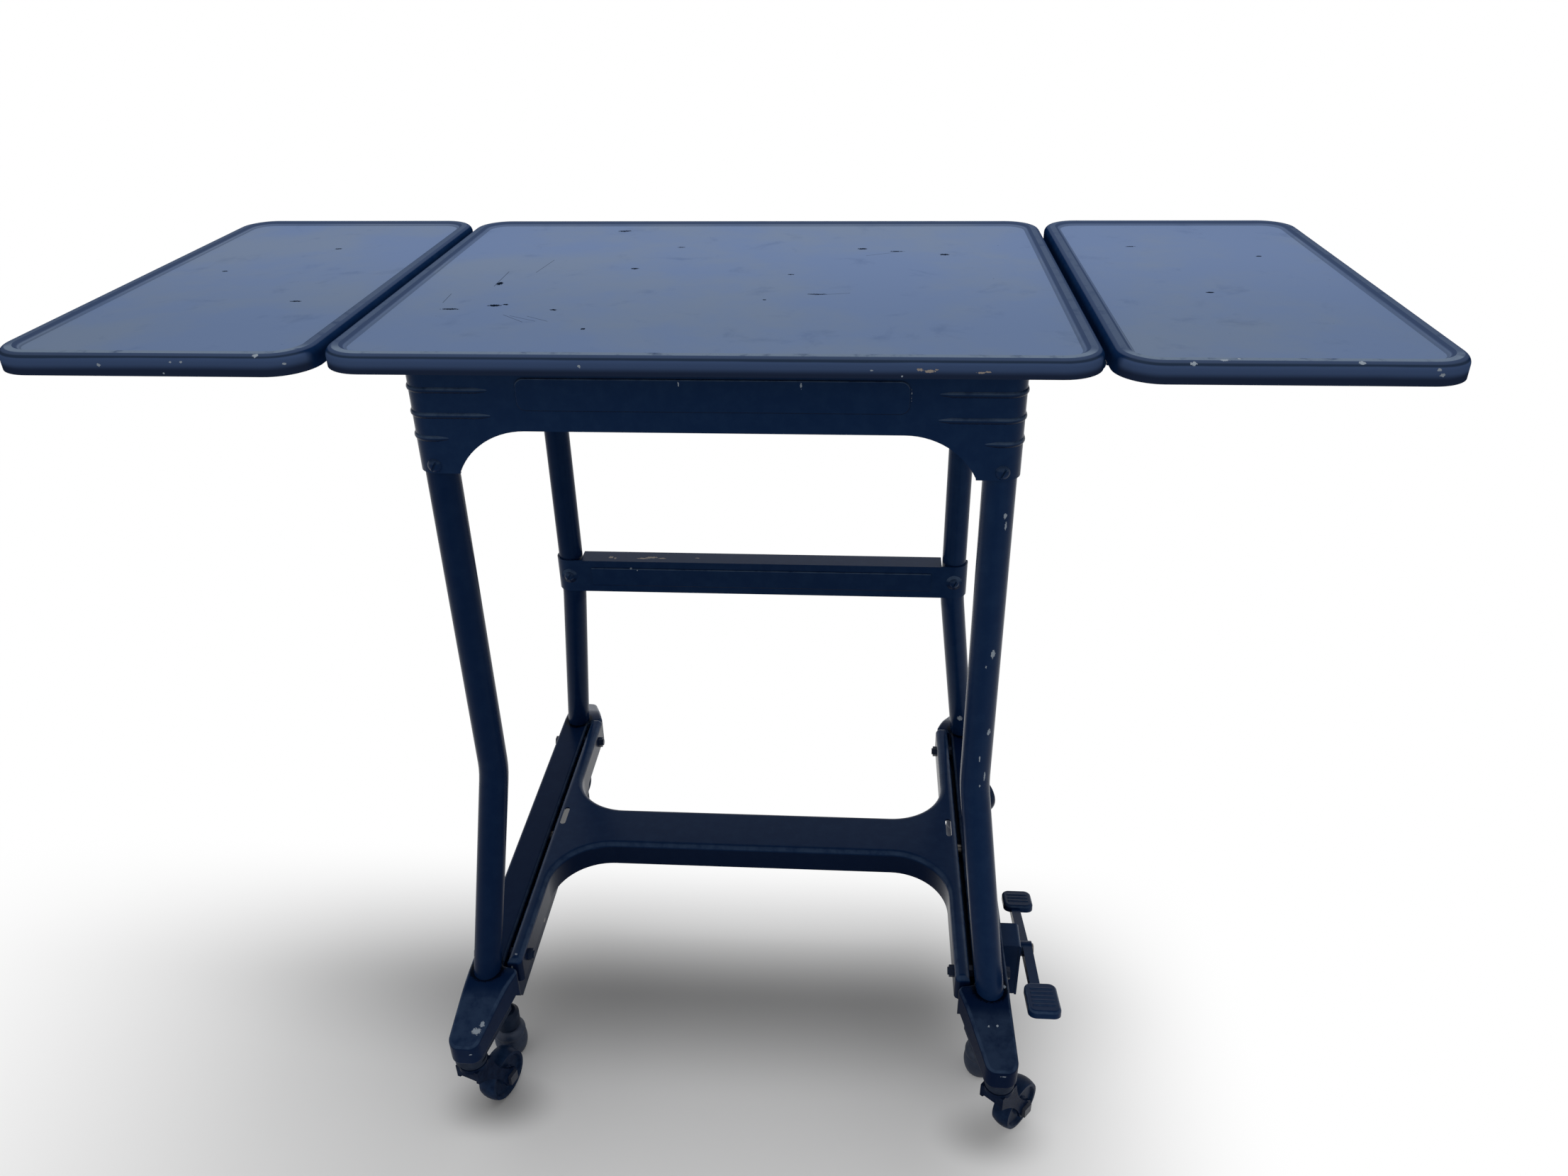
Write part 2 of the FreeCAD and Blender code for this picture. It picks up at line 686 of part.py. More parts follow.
def round_top(block, radius):
    """Round the outline of a rail's top, where it meets the walls."""
    def slopes(edge):
        faces = block.ancestorsOfType(edge, Part.Face)
        return sorted(abs(f.normalAt(*f.Surface.parameter(edge.CenterOfMass)).z) for f in faces)

    outline = [e for e in block.Edges if e.CenterOfMass.z > toe_nose_z + open_side
               and slopes(e)[0] < 0.3 and slopes(e)[-1] > 0.8]
    return block.makeFillet(radius, outline)


def right_rail():
    outside = rail_block(0, 0, toe_corner)
    inside = rail_block(rail_wall, rail_wall, toe_corner - rail_wall)
    shape = round_top(outside, rail_round).cut(round_top(inside, rail_round - rail_wall))
    sleeve = leg_solid(leg_radius + weld_gap, rail_width)
    for sy in (-1, 1):
        shape = shape.cut(at_corner(sleeve, 1, sy))
        for radius, y, z in ((bolt_radius + bolt_hole_gap, sy * bolt_y, bolt_z),
                             (guide_stud_radius + weld_gap, sy * guide_stud_y, guide_stud_z)):
            shape = shape.cut(rod(radius, V(rail_inner_x - 5, y, z), V(rail_outer_x + 5, y, z)))
        shape = shape.cut(rod(toe_stem_hole, V(caster_x, sy * caster_y, 0), V(caster_x, sy * caster_y, socket_top_z)))
    shape = shape.cut(rod(shaft_radius + shaft_gap, V(rail_inner_x - 5, 0, shaft_z), V(rail_x, 0, shaft_z)))
    return shape


def drilled_right_rail():
    """The right rail has two more holes, for the pedal's shaft."""
    return right_rail().cut(rod(pedal_shaft_radius + shaft_gap, V(rail_inner_x - 5, pedal_y, pedal_z),
                                V(rail_outer_x + 5, pedal_y, pedal_z)))


# ---- base plate ----
def base_plate():
    low = plate_top_z - plate_depth

    def plan(inset, z, height):
        """The bridge and its arms as a solid, the whole outline drawn in by inset."""
        outer = arm_outer_x - inset
        end = arm_half_length - inset
        inner = arm_inner_x + inset
        half = bridge_half - inset
        arms = [box(sx * inner, -end, z, sx * outer, end, z + height) for sx in (-1, 1)]
        shape = box(-outer, -half, z, outer, half, z + height).multiFuse(arms).removeSplitter()

        def upright(x, y):
            return [e for e in shape.Edges if abs(e.Vertexes[0].Z - e.Vertexes[-1].Z) > height / 2
                    and abs(abs(e.CenterOfMass.x) - x) < 0.1 and abs(abs(e.CenterOfMass.y) - y) < 0.1]

        shape = shape.makeFillet(arm_fillet + inset, upright(inner, half))
        return shape.makeFillet(min(arm_end_round, (outer - inner) * 0.95 + inset) - inset, upright(inner, end))

    def rounded(solid, top, radius):
        return solid.makeFillet(radius, edges_at(solid, lambda p: abs(p.z - top) < 1e-6))

    crown = min(plate_round, 0.45 * arm_width)
    outside = rounded(plan(0, low, plate_depth), plate_top_z, crown)
    lip_end = bolt_y + plate_depth / 2
    inside = plan(plate_wall, low - 1, plate_depth - plate_wall + 1)
    shape = outside.cut(rounded(inside, plate_top_z - plate_wall, crown - plate_wall))
    for sx in (-1, 1):
        shape = shape.fuse(box(sx * (arm_outer_x - plate_wall / 2), -lip_end, arm_lip_z,
                               sx * (rail_inner_x - tight_fit), lip_end, arm_lip_z + arm_lip))
    for sx in (-1, 1):
        for sy in (-1, 1):
            shape = shape.cut(rod(bolt_radius + bolt_hole_gap, V(sx * (arm_inner_x - 5), sy * bolt_y, bolt_z),
                                  V(sx * (arm_outer_x + 2), sy * bolt_y, bolt_z)))
        reach = arm_slot_length / 2 - arm_slot_width / 2
        ends = [Part.makeCylinder(arm_slot_width / 2, 10, V(sx * arm_slot_x, arm_slot_y + y, plate_top_z - 6))
                for y in (-reach, reach)]
        middle = box(sx * arm_slot_x - arm_slot_width / 2, arm_slot_y - reach, plate_top_z - 6,
                     sx * arm_slot_x + arm_slot_width / 2, arm_slot_y + reach, plate_top_z + 4)
        shape = shape.cut(middle.multiFuse(ends))
        shape = shape.cut(rod(shaft_radius + shaft_hole_gap, V(sx * (arm_outer_x - 6), 0, shaft_z),
                              V(sx * rail_x, 0, shaft_z)))
    return shape


# ---- fasteners ----
def leg_screws():
    return [slotted_screw(V(sx * leg_x, sy * apron_half_y, leg_screw_z), V(0, -sy, 0)) for _, sx, sy in corners]


def cross_screws():
    front = leg_y - leg_radius - weld_gap - cross_wall - cross_band_lift
    return [slotted_screw(V(sx * leg_x, front, cross_screw_z), V(0, 1, 0)) for sx in (-1, 1)]


def base_bolts():
    """Long bolts, head outside the rail and tail inside the arm."""
    bolts = []
    for _, sx, sy in corners:
        head = V(sx * rail_outer_x, sy * bolt_y, bolt_z)
        tail = V(sx * (arm_inner_x - bolt_nut_height - bolt_tail), sy * bolt_y, bolt_z)
        hexagon = hexagon_bar(bolt_head_flats, head, head + V(sx * bolt_head_height, 0, 0))
        bolts.append(rod(bolt_radius, head, tail).fuse(hexagon).removeSplitter())
    return bolts


def base_nuts():
    """A nut in the gap beside each rail and one inside each arm."""
    nuts = []
    for _, sx, sy in corners:
        for start, end in ((rail_inner_x, arm_outer_x), (arm_inner_x, arm_inner_x - bolt_nut_height)):
            a, b = V(sx * start, sy * bolt_y, bolt_z), V(sx * end, sy * bolt_y, bolt_z)
            nuts.append(hexagon_bar(bolt_head_flats, a, b).cut(rod(bolt_radius + bolt_nut_gap, a, b)))
    return nuts


# ---- hinges ----
def hinge_spans(moving):
    """Lengths of the knuckles along Y, from the hinge's middle."""
    pitch = hinge_length / hinge_knuckles
    spans = []
    for i in range(hinge_knuckles):
        if (i % 2 == 1) == moving:
            low = -hinge_length / 2 + i * pitch
            spans.append((low + hinge_knuckle_gap / 2, low + pitch - hinge_knuckle_gap / 2))
    return spans


def hinge_leaf(side, moving):
    """One half of a hinge on the right-hand seam: side is -1 on the tray and +1 on the leaf."""
    hem_face = skirt_x - 2 * sheet if side < 0 else leaf_inner_x + 2 * sheet
    far = hem_face + side * hinge_plate
    plate = box(hem_face, -hinge_length / 2, hinge_z - hinge_plate / 2, far, hinge_length / 2, hinge_plate_top)
    shape = plate
    for y0, y1 in hinge_spans(moving):
        knuckle = rod(hinge_knuckle_radius, V(hinge_x, y0, hinge_z), V(hinge_x, y1, hinge_z))
        web = box(hinge_x, y0, hinge_z - hinge_plate / 2, far, y1, hinge_z + hinge_plate / 2)
        shape = shape.fuse(knuckle).fuse(web)
    for y0, y1 in hinge_spans(not moving):
        shape = shape.cut(rod(hinge_knuckle_radius + hinge_web_gap, V(hinge_x, y0 - hinge_knuckle_gap, hinge_z),
                              V(hinge_x, y1 + hinge_knuckle_gap, hinge_z)))
    gap = hinge_pin_gap if moving else tight_fit
    bore = rod(hinge_pin_radius + gap, V(hinge_x, -hinge_length, hinge_z), V(hinge_x, hinge_length, hinge_z))
    return shape.cut(bore).removeSplitter()


def hinge_set(side, moving, sx):
    halves = []
    for y in (-hinge_y, hinge_y):
        half = hinge_leaf(side, moving)
        half.translate(V(0, y, 0))
        halves.append(half if sx > 0 else mirrored_x(half))
    return halves


def hinge_pins():
    reach = hinge_length / 2 + hinge_pin_end
    return [rod(hinge_pin_radius, V(sx * hinge_x, y - reach, hinge_z), V(sx * hinge_x, y + reach, hinge_z))
            for sx in (-1, 1) for y in (-hinge_y, hinge_y)]


# ---- stays ----
def stay_pivot():
    return V(hinge_x + stay_reach, 0, hinge_z - stay_drop)


def stay():
    """Flat link with a slot curved about the leaf's own motion, at the right-hand leaf."""
    pivot = stay_pivot()
    stud = V(stay_stud_x, 0, stay_stud_z)
    centre = pivot + stud - V(hinge_x, 0, hinge_z)
    radius = math.hypot(stay_reach, stay_drop)
    first = math.atan2(stud.z - centre.z, stud.x - centre.x)
    last = first - math.pi / 2
    slot_half = stay_stud_radius + stay_slot_gap
    half_plate = stay_thickness / 2

    def arc_band(inner, outer, start, end):
        def at(r, angle):
            return V(centre.x + r * math.cos(angle), -half_plate, centre.z + r * math.sin(angle))
        middle = (start + end) / 2
        wire = Part.Wire([
            Part.Arc(at(outer, start), at(outer, middle), at(outer, end)).toShape(),
            Part.makeLine(at(outer, end), at(inner, end)),
            Part.Arc(at(inner, end), at(inner, middle), at(inner, start)).toShape(),
            Part.makeLine(at(inner, start), at(outer, start)),
        ])
        return Part.Face(wire).extrude(ALONG_Y * stay_thickness)

    def disc(r, x, z):
        return rod(r, V(x, -half_plate, z), V(x, half_plate, z))

    def on_arc(angle):
        return centre.x + radius * math.cos(angle), centre.z + radius * math.sin(angle)

    wide = slot_half + stay_margin
    end_x, end_z = on_arc(last)
    body = arc_band(radius - wide, radius + wide, first, last)
    end = V(end_x, -half_plate, end_z)
    neck_end = V(pivot.x, -half_plate, pivot.z)
    side = (neck_end - end).normalize().cross(ALONG_Y) * stay_ear_radius
    neck = polygon_face([end + side, neck_end + side, neck_end - side, end - side]).extrude(ALONG_Y * stay_thickness)
    body = body.multiFuse([disc(wide, stud.x, stud.z), disc(wide, end_x, end_z), neck,
                           disc(stay_ear_radius, pivot.x, pivot.z)])
    slot = arc_band(radius - slot_half, radius + slot_half, first, last)
    slot = slot.multiFuse([disc(slot_half, stud.x, stud.z), disc(slot_half, end_x, end_z)])
    return body.cut(slot).cut(disc(stay_pivot_radius + stay_pivot_gap, pivot.x, pivot.z)).removeSplitter()


def stay_leaf_bracket():
    """Angle under the right-hand leaf, with the stay's pivot pin."""
    pivot = stay_pivot()
    near = stay_thickness / 2 + stay_side_gap
    ear = box(pivot.x - stay_ear_radius, near, pivot.z, pivot.x + stay_ear_radius, near + stay_ear, panel_underside)
    ear = ear.fuse(rod(stay_ear_radius, V(pivot.x, near, pivot.z), V(pivot.x, near + stay_ear, pivot.z)))
    foot = box(pivot.x - stay_ear_radius, near, panel_underside - stay_ear,
               pivot.x + stay_ear_radius, near + stay_foot, panel_underside)
    pin = rod(stay_pivot_radius, V(pivot.x, -near, pivot.z), V(pivot.x, near, pivot.z))
    cap = rod(stay_pivot_radius + stay_cap_lip, V(pivot.x, -near - stay_cap, pivot.z), V(pivot.x, -near, pivot.z))
    return ear.multiFuse([foot, pin, cap]).removeSplitter()


def stay_stud_bracket():
    """Angle on the right-hand side of the apron, with the stud the stay rides on."""
    near = -stay_thickness / 2 - stay_side_gap
    outer = apron_half_x - apron_wall
    low, high = apron_edge_z + stay_foot_low, apron_edge_z + stay_foot_high
    outline = [V(outer, near, high), V(outer + stay_ear_radius, near, high),
               V(stay_stud_x + stay_ear_radius, near, stay_stud_z), V(stay_stud_x - stay_ear_radius, near, stay_stud_z),
               V(outer, near, low)]
    ear = polygon_face(outline).extrude(ALONG_Y * -stay_ear)
    ear = ear.fuse(rod(stay_ear_radius, V(stay_stud_x, near, stay_stud_z), V(stay_stud_x, near - stay_ear, stay_stud_z)))
    foot = box(outer, near, low, outer + stay_ear, near - stay_foot, high)
    stud = rod(stay_stud_radius, V(stay_stud_x, near, stay_stud_z), V(stay_stud_x, -near, stay_stud_z))
    cap = rod(stay_stud_radius + stay_cap_lip, V(stay_stud_x, -near, stay_stud_z),
              V(stay_stud_x, stay_cap - near, stay_stud_z))
    return ear.multiFuse([foot, stud, cap]).removeSplitter()


# ---- pedal ----
def tilt(shape, y, z, degrees):
    """Turn a shape about an axis along X."""
    turned = shape.copy()
    turned.rotate(V(0, y, z), ALONG_X, degrees)
    return turned


def pedal_pad(x, y, length):
    """One ribbed pad, flat side up, from x outwards and centred on y."""
    top = pedal_z + pedal_pad_rise
    pad = box(x, y - length / 2, top - pedal_pad_thickness, x + pedal_pad_width, y + length / 2, top)
    upright = [e for e in pad.Edges if abs(e.Vertexes[0].Z - e.Vertexes[-1].Z) > 1]
    pad = pad.makeFillet(pedal_pad_corner, upright)
    pad = pad.makeFillet(pedal_pad_round, edges_at(pad, lambda p: abs(p.z - top) < 1e-6))
    count = int((length - 2 * pedal_rib_margin) // pedal_rib_pitch)
    for i in range(count):
        rib_y = y + (i - (count - 1) / 2) * pedal_rib_pitch
        rib_z = top - pedal_rib_radius + pedal_rib_height
        pad = pad.fuse(rod(pedal_rib_radius, V(x + pedal_rib_margin, rib_y, rib_z),
                           V(x + pedal_pad_width - pedal_rib_margin, rib_y, rib_z)))
    return pad


def pedal_arm(x, y, top):
    """Bar from the pivot to under a pad at y."""
    half = pedal_bar_height / 2
    end = y + pedal_arm_haunch * (1 if y > pedal_y else -1)
    under = top - pedal_pad_thickness
    profile = [V(x, pedal_y, pedal_z + half), V(x, pedal_y, pedal_z - half), V(x, y, under - pedal_arm_haunch),
               V(x, end, under), V(x, end, under + half / 2), V(x, y, under + half / 2)]
    return polygon_face(profile).extrude(ALONG_X * pedal_bar_thickness)


def pedal():
    """Rocker with a ribbed pad at each end, built level and then tilted."""
    inner = rail_outer_x + pedal_bracket_reach + pedal_side_gap
    outer = inner + pedal_bar_step
    top = pedal_z + pedal_pad_rise
    front, rear = pedal_y - pedal_front_arm, pedal_y + pedal_rear_arm
    shape = rod(pedal_hub_radius, V(inner, pedal_y, pedal_z), V(outer + pedal_bar_thickness, pedal_y, pedal_z))
    shape = shape.multiFuse([pedal_arm(outer, front, top), pedal_arm(inner, rear, top),
                             pedal_pad(inner - pedal_front_overhang, front, pedal_front_pad),
                             pedal_pad(inner - pedal_rear_overhang, rear, pedal_rear_pad)])
    bore = rod(pedal_shaft_radius + tight_fit, V(inner - 1, pedal_y, pedal_z),
               V(outer + pedal_bar_thickness + 1, pedal_y, pedal_z))
    return tilt(shape.cut(bore).removeSplitter(), pedal_y, pedal_z, -pedal_tilt)


def crank_arm(x0, x1, axis_y, axis_z, length, pin_from, pin_to):
    """A crank hanging from a shaft, with its pin along X."""
    pin = axis_z - length
    arm = box(x0, axis_y - crank_eye, pin, x1, axis_y + crank_eye, axis_z)
    hub = rod(crank_hub, V(x0, axis_y, axis_z), V(x1, axis_y, axis_z))
    eye = rod(crank_eye, V(x0, axis_y, pin), V(x1, axis_y, pin))
    return arm.multiFuse([hub, eye, rod(crank_pin_radius, V(pin_from, axis_y, pin), V(pin_to, axis_y, pin))])


def pedal_shaft():
    """Shaft through the right rail, with the crank that pushes the cam bar."""
    outer = rail_outer_x + pedal_bracket_reach + pedal_side_gap + pedal_bar_step + pedal_bar_thickness
    shaft = rod(pedal_shaft_radius, V(rail_inner_x - pin_end, pedal_y, pedal_z), V(outer + pin_end, pedal_y, pedal_z))
    face = rail_x + bar_thickness / 2 + crank_side_gap
    arm = crank_arm(face, face + crank_thickness, pedal_y, pedal_z, pedal_crank, face, face - bar_thickness - crank_pin_end)
    return tilt(shaft.fuse(arm).removeSplitter(), pedal_y, pedal_z, -pedal_tilt)


def pedal_bracket():
    """Channel on the rail's outer wall, open below, that carries the outer end of the pedal's shaft."""
    inner, outer = rail_outer_x, rail_outer_x + pedal_bracket_reach
    front, rear = pedal_y - pedal_bracket_half, pedal_y + pedal_bracket_half
    block = box(inner, front, pedal_bracket_low_z, outer, rear, pedal_bracket_top_z)
    crease = [e for e in block.Edges if abs(e.CenterOfMass.z - pedal_bracket_top_z) < 0.1
              and abs(e.CenterOfMass.x - outer) < 0.1]
    block = block.makeFillet(pedal_bracket_wall + 1, crease)
    room = box(inner + pedal_bracket_wall, front - 1, pedal_bracket_low_z - 1, outer - pedal_bracket_wall, rear + 1,
               pedal_bracket_top_z - pedal_bracket_wall)
    bore = rod(pedal_shaft_radius + shaft_gap, V(inner - 1, pedal_y, pedal_z), V(outer + 1, pedal_y, pedal_z))
    return block.cut(room).cut(bore).removeSplitter()


# ---- cam bars ----
def long_hole(x0, x1, a, b, radius):
    """A slot along X through a bar, its round ends at two points given as (y, z)."""
    points = [V(x0, a[0], a[1]), V(x0, b[0], b[1])]
    through = V(x1 - x0, 0, 0)
    ends = [rod(radius, p, p + through) for p in points]
    side = (points[1] - points[0]).normalize().cross(ALONG_X) * radius
    middle = polygon_face([points[0] + side, points[1] + side, points[1] - side, points[0] - side]).extrude(through)
    return middle.multiFuse(ends)


def cam_bar():
    """Flat bar in the right rail, drawn at rest: forward end of its travel."""
    x0, x1 = rail_x - bar_thickness / 2, rail_x + bar_thickness / 2
    back = bar_travel / 2
    bar = box(x0, -bar_half_length - back, bar_low_z, x1, bar_half_length - back, bar_high_z)
    corners_of_bar = [e for e in bar.Edges if abs(e.Vertexes[0].X - e.Vertexes[-1].X) > 1]
    bar = bar.makeFillet(bar_corner, corners_of_bar)
    for sy in (-1, 1):
        pin = (sy * foot_y, foot_pin_z)
        slot_end = (sy * foot_y - bar_travel, foot_pin_z - foot_travel)
        bar = bar.cut(long_hole(x0 - 1, x1 + 1, pin, slot_end, foot_pin_radius + foot_slot_gap))
        stud = (sy * guide_stud_y, guide_stud_z)
        stud_end = (sy * guide_stud_y - bar_travel, guide_stud_z)
        bar = bar.cut(long_hole(x0 - 1, x1 + 1, stud, stud_end, guide_stud_radius + guide_slot_gap))
    for axis_y, length, degrees in ((pedal_y, pedal_crank, pedal_tilt), (0.0, shaft_crank, shaft_tilt)):
        rise = length * (1 - math.cos(math.radians(degrees)))
        y = axis_y - back
        bar = bar.cut(long_hole(x0 - 1, x1 + 1, (y, crank_pin_z - 0.1), (y, crank_pin_z + rise + 0.1),
                                crank_pin_radius + crank_slot_gap))
    return bar


def cross_shaft():
    """Shaft under the bridge that carries the push to the other rail."""
    shaft = rod(shaft_radius, V(-shaft_half_length, 0, shaft_z), V(shaft_half_length, 0, shaft_z))
    face = rail_x - bar_thickness / 2 - crank_side_gap
    arm = crank_arm(face - crank_thickness, face, 0, shaft_z, shaft_crank, face, face + bar_thickness + crank_pin_end)
    shape = shaft.multiFuse([arm, mirrored_x(arm)]).removeSplitter()
    return tilt(shape, 0, shaft_z, -shaft_tilt)


def guide_studs():
    """Studs across each rail that the cam bar slides on."""
    inner, outer = rail_inner_x - pin_end, rail_outer_x + pin_end
    return [rod(guide_stud_radius, V(sx * inner, y, guide_stud_z), V(sx * outer, y, guide_stud_z))
            for sx in (-1, 1) for y in (-guide_stud_y, guide_stud_y)]


# ---- feet ----
def foot():
    """Steel foot: a spigot for the rubber tip, a cup above it, and a forked stem with its pin."""
    tip_top = foot_clear + foot_tip_height
    cup_low = tip_top + foot_groove
    cup_top = cup_low + foot_cup_height
    spigot_low = foot_clear + foot_tip_sole
    outline = [
        V(0, 0, spigot_low), V(foot_spigot_radius, 0, spigot_low), V(foot_spigot_radius, 0, cup_low),
        V(foot_cup_radius, 0, cup_low), V(foot_cup_radius, 0, cup_top - foot_cup_round),
        V(foot_cup_radius - foot_cup_round, 0, cup_top),
        V(foot_stem_radius, 0, cup_top), V(foot_stem_radius, 0, foot_stem_top), V(0, 0, foot_stem_top),
    ]
    body = polygon_face(outline).revolve(V(0, 0, 0), UP, 360)
    body.translate(V(rail_x, foot_y, 0))
    half_slot = bar_thickness / 2 + crank_side_gap
    fork = box(rail_x - half_slot, foot_y - foot_fork_half, bar_low_z - 2, rail_x + half_slot,
               foot_y + foot_fork_half, bar_high_z + foot_travel + 2)
    pin = rod(foot_pin_radius, V(rail_x - foot_stem_radius, foot_y, foot_pin_z),
              V(rail_x + foot_stem_radius, foot_y, foot_pin_z))
    return body.cut(fork).fuse(pin).removeSplitter()


def foot_tip():
    """Bell-shaped rubber tip pushed on the spigot."""
    low, top = foot_clear, foot_clear + foot_tip_height
    third = foot_tip_height / 3
    belly = V(foot_radius, 0, low + 1.2 * third)
    base = V(foot_radius - foot_tip_draft, 0, low)
    shoulder_low = V(foot_radius - foot_tip_draft / 2, 0, top - third)
    side = Part.Arc(base, belly, shoulder_low).toShape()
    round_mid = V((shoulder_low.x + foot_tip_neck) / 2 + foot_tip_draft / 2, 0, top - third / 4)
    shoulder = Part.Arc(shoulder_low, round_mid, V(foot_tip_neck, 0, top)).toShape()
    bore = foot_spigot_radius + tight_fit
    sole = low + foot_tip_sole
    inner = [V(foot_tip_neck, 0, top), V(bore, 0, top), V(bore, 0, sole), V(0, 0, sole), V(0, 0, low), base]
    wire = Part.Wire([side, shoulder] + Part.makePolygon(inner).Edges)
    tip = Part.Face(wire).revolve(V(0, 0, 0), UP, 360)
    tip.translate(V(rail_x, foot_y, 0))
    return tip


def foot_guide():
    """Saddle hung on the long bolt, with the bush the foot's stem slides in."""
    half_width = rail_width / 2 - rail_wall - foot_guide_room
    front, rear = foot_y - foot_guide_half, foot_y + foot_guide_half
    outside = box(rail_x - half_width, front, foot_guide_low, rail_x + half_width, rear, foot_guide_top)
    inner = half_width - foot_guide_wall
    room = box(rail_x - inner, front, foot_guide_low + 2 * foot_guide_wall, rail_x + inner, rear, foot_guide_top)
    bush = Part.makeCylinder(foot_guide_radius, foot_guide_high - foot_guide_low, V(rail_x, foot_y, foot_guide_low))
    bore = rod(foot_stem_radius + foot_guide_gap, V(rail_x, foot_y, 0), V(rail_x, foot_y, rail_top_z))
    hole = rod(bolt_radius + bolt_hole_gap, V(rail_inner_x, foot_y, bolt_z), V(rail_outer_x, foot_y, bolt_z))
    return outside.cut(room).fuse(bush).cut(bore).cut(hole).removeSplitter()


# ---- casters, drawn with the swivel axis on Z and the wheel trailing along +Y ----
def place_caster(shape, name, sx, sy):
    placed = shape.copy()
    placed.rotate(V(0, 0, 0), UP, caster_turn[name])
    placed.translate(V(sx * caster_x, sy * caster_y, 0))
    return placed


def caster_wheel():
    half = wheel_width / 2
    rim = wheel_radius - wheel_rim
    outline = [
        V(-half, 0, axle_radius + axle_gap), V(-half, 0, wheel_hub_radius),
        V(-half + wheel_dish, 0, wheel_hub_radius + wheel_slope), V(-half + wheel_dish, 0, rim - wheel_slope),
        V(-half, 0, rim), V(-half, 0, wheel_radius - wheel_crown),
    ]
    crown = Part.Arc(outline[-1], V(0, 0, wheel_radius), V(half, 0, wheel_radius - wheel_crown)).toShape()
    back = [V(-p.x, 0, p.z) for p in reversed(outline)]
    wire = Part.Wire(Part.makePolygon(outline).Edges + [crown] + Part.makePolygon(back).Edges
                     + [Part.makeLine(back[-1], outline[0])])
    wheel = Part.Face(wire).revolve(V(0, 0, 0), ALONG_X, 360)
    wheel.translate(V(0, caster_trail, wheel_radius))
    return wheel


def caster_fork():
    """Forged fork with a crown disc and a stem."""
    inner = wheel_width / 2 + fork_side_gap
    outer = inner + fork_wall
    high = fork_top_z - fork_disc / 2
    axle = V(-outer, caster_trail, wheel_radius)
    rear, front = V(-outer, fork_neck, high), V(-outer, -fork_neck, fork_crown_z - fork_wall)
    across = (axle - V(-outer, 0, fork_crown_z)).normalize().cross(ALONG_X)
    ends = [axle + across * fork_boss, axle - across * fork_boss]
    if ends[0].y < ends[1].y:
        ends.reverse()
    hollow = [(rear + ends[0]) * 0.5 - (ends[0] - ends[1]).normalize() * fork_waist,
              (front + ends[1]) * 0.5 + (ends[0] - ends[1]).normalize() * fork_waist]
    tip = axle + (axle - V(-outer, 0, fork_crown_z)).normalize() * fork_boss
    side = Part.Wire([
        Part.makeLine(V(-outer, -fork_neck, high), rear), Part.Arc(rear, hollow[0], ends[0]).toShape(),
        Part.Arc(ends[0], tip, ends[1]).toShape(), Part.Arc(ends[1], hollow[1], front).toShape(),
        Part.makeLine(front, V(-outer, -fork_neck, high)),
    ])
    yoke = Part.Face(side).extrude(ALONG_X * (2 * outer))
    yoke = yoke.cut(box(-inner, -2 * caster_trail, 0, inner, 3 * caster_trail, fork_crown_z))
    disc = Part.makeCylinder(fork_radius, fork_disc, V(0, 0, fork_top_z - fork_disc))
    stem = Part.makeCylinder(stem_radius, stem_length, V(0, 0, fork_top_z))
    axle_hole = rod(axle_radius + tight_fit, V(-outer, caster_trail, wheel_radius), V(outer, caster_trail, wheel_radius))
    return yoke.multiFuse([disc, stem]).cut(axle_hole).removeSplitter()


def caster_axle():
    """Axle pin with a square nut at each end."""
    outer = wheel_width / 2 + fork_side_gap + fork_wall
    axle = rod(axle_radius, V(-outer - axle_nut_height, caster_trail, wheel_radius),
               V(outer + axle_nut_height, caster_trail, wheel_radius))
    shapes = []
    for side in (-1, 1):
        nut = box(side * outer, caster_trail - axle_nut / 2, wheel_radius - axle_nut / 2,
                  side * (outer + axle_nut_height), caster_trail + axle_nut / 2, wheel_radius + axle_nut / 2)
        shapes.append(nut)
    return axle.multiFuse(shapes).removeSplitter()


def caster_sockets():
    """Flanged sockets under the toes that the casters' stems turn in, each in a plate welded across the toe."""
    sockets = []
    low = fork_top_z + caster_play
    skin = rail_block(rail_wall + socket_plate_gap, rail_wall + socket_plate_gap, toe_corner - rail_wall)
    slope = (toe_nose_z - rail_top_z + toe_flank) / (toe_nose_y - toe_flank_y)
    ends = [V(0, y, toe_nose_z + slope * (y - toe_nose_y) - socket_plate_show)
            for y in (caster_y - socket_plate_half, toe_nose_y)]
    section = polygon_face(ends + [p + UP * socket_plate for p in reversed(ends)])
    plate = skin.common(section.extrude(ALONG_X * far_away))
    plate = plate.common(box(0, 0, low, far_away, far_away, far_away))
    for _, sx, sy in corners:
        centre = V(caster_x, caster_y, low)
        flange = Part.makeCylinder(socket_flange_radius, socket_flange, centre)
        body = Part.makeCylinder(socket_radius, socket_top_z - low, centre)
        bore = rod(stem_radius + stem_gap, V(caster_x, caster_y, 0), V(caster_x, caster_y, rail_top_z))
        socket = flange.multiFuse([body, plate]).cut(bore).removeSplitter()
        sockets.append(at_corner(socket, sx, sy))
    return sockets


def save(name, shapes):
    """Write one node; a list becomes a group of separate solids."""
    shape = Part.makeCompound(shapes) if isinstance(shapes, list) else shapes
    shape.exportStep("parts/%s.step" % name)


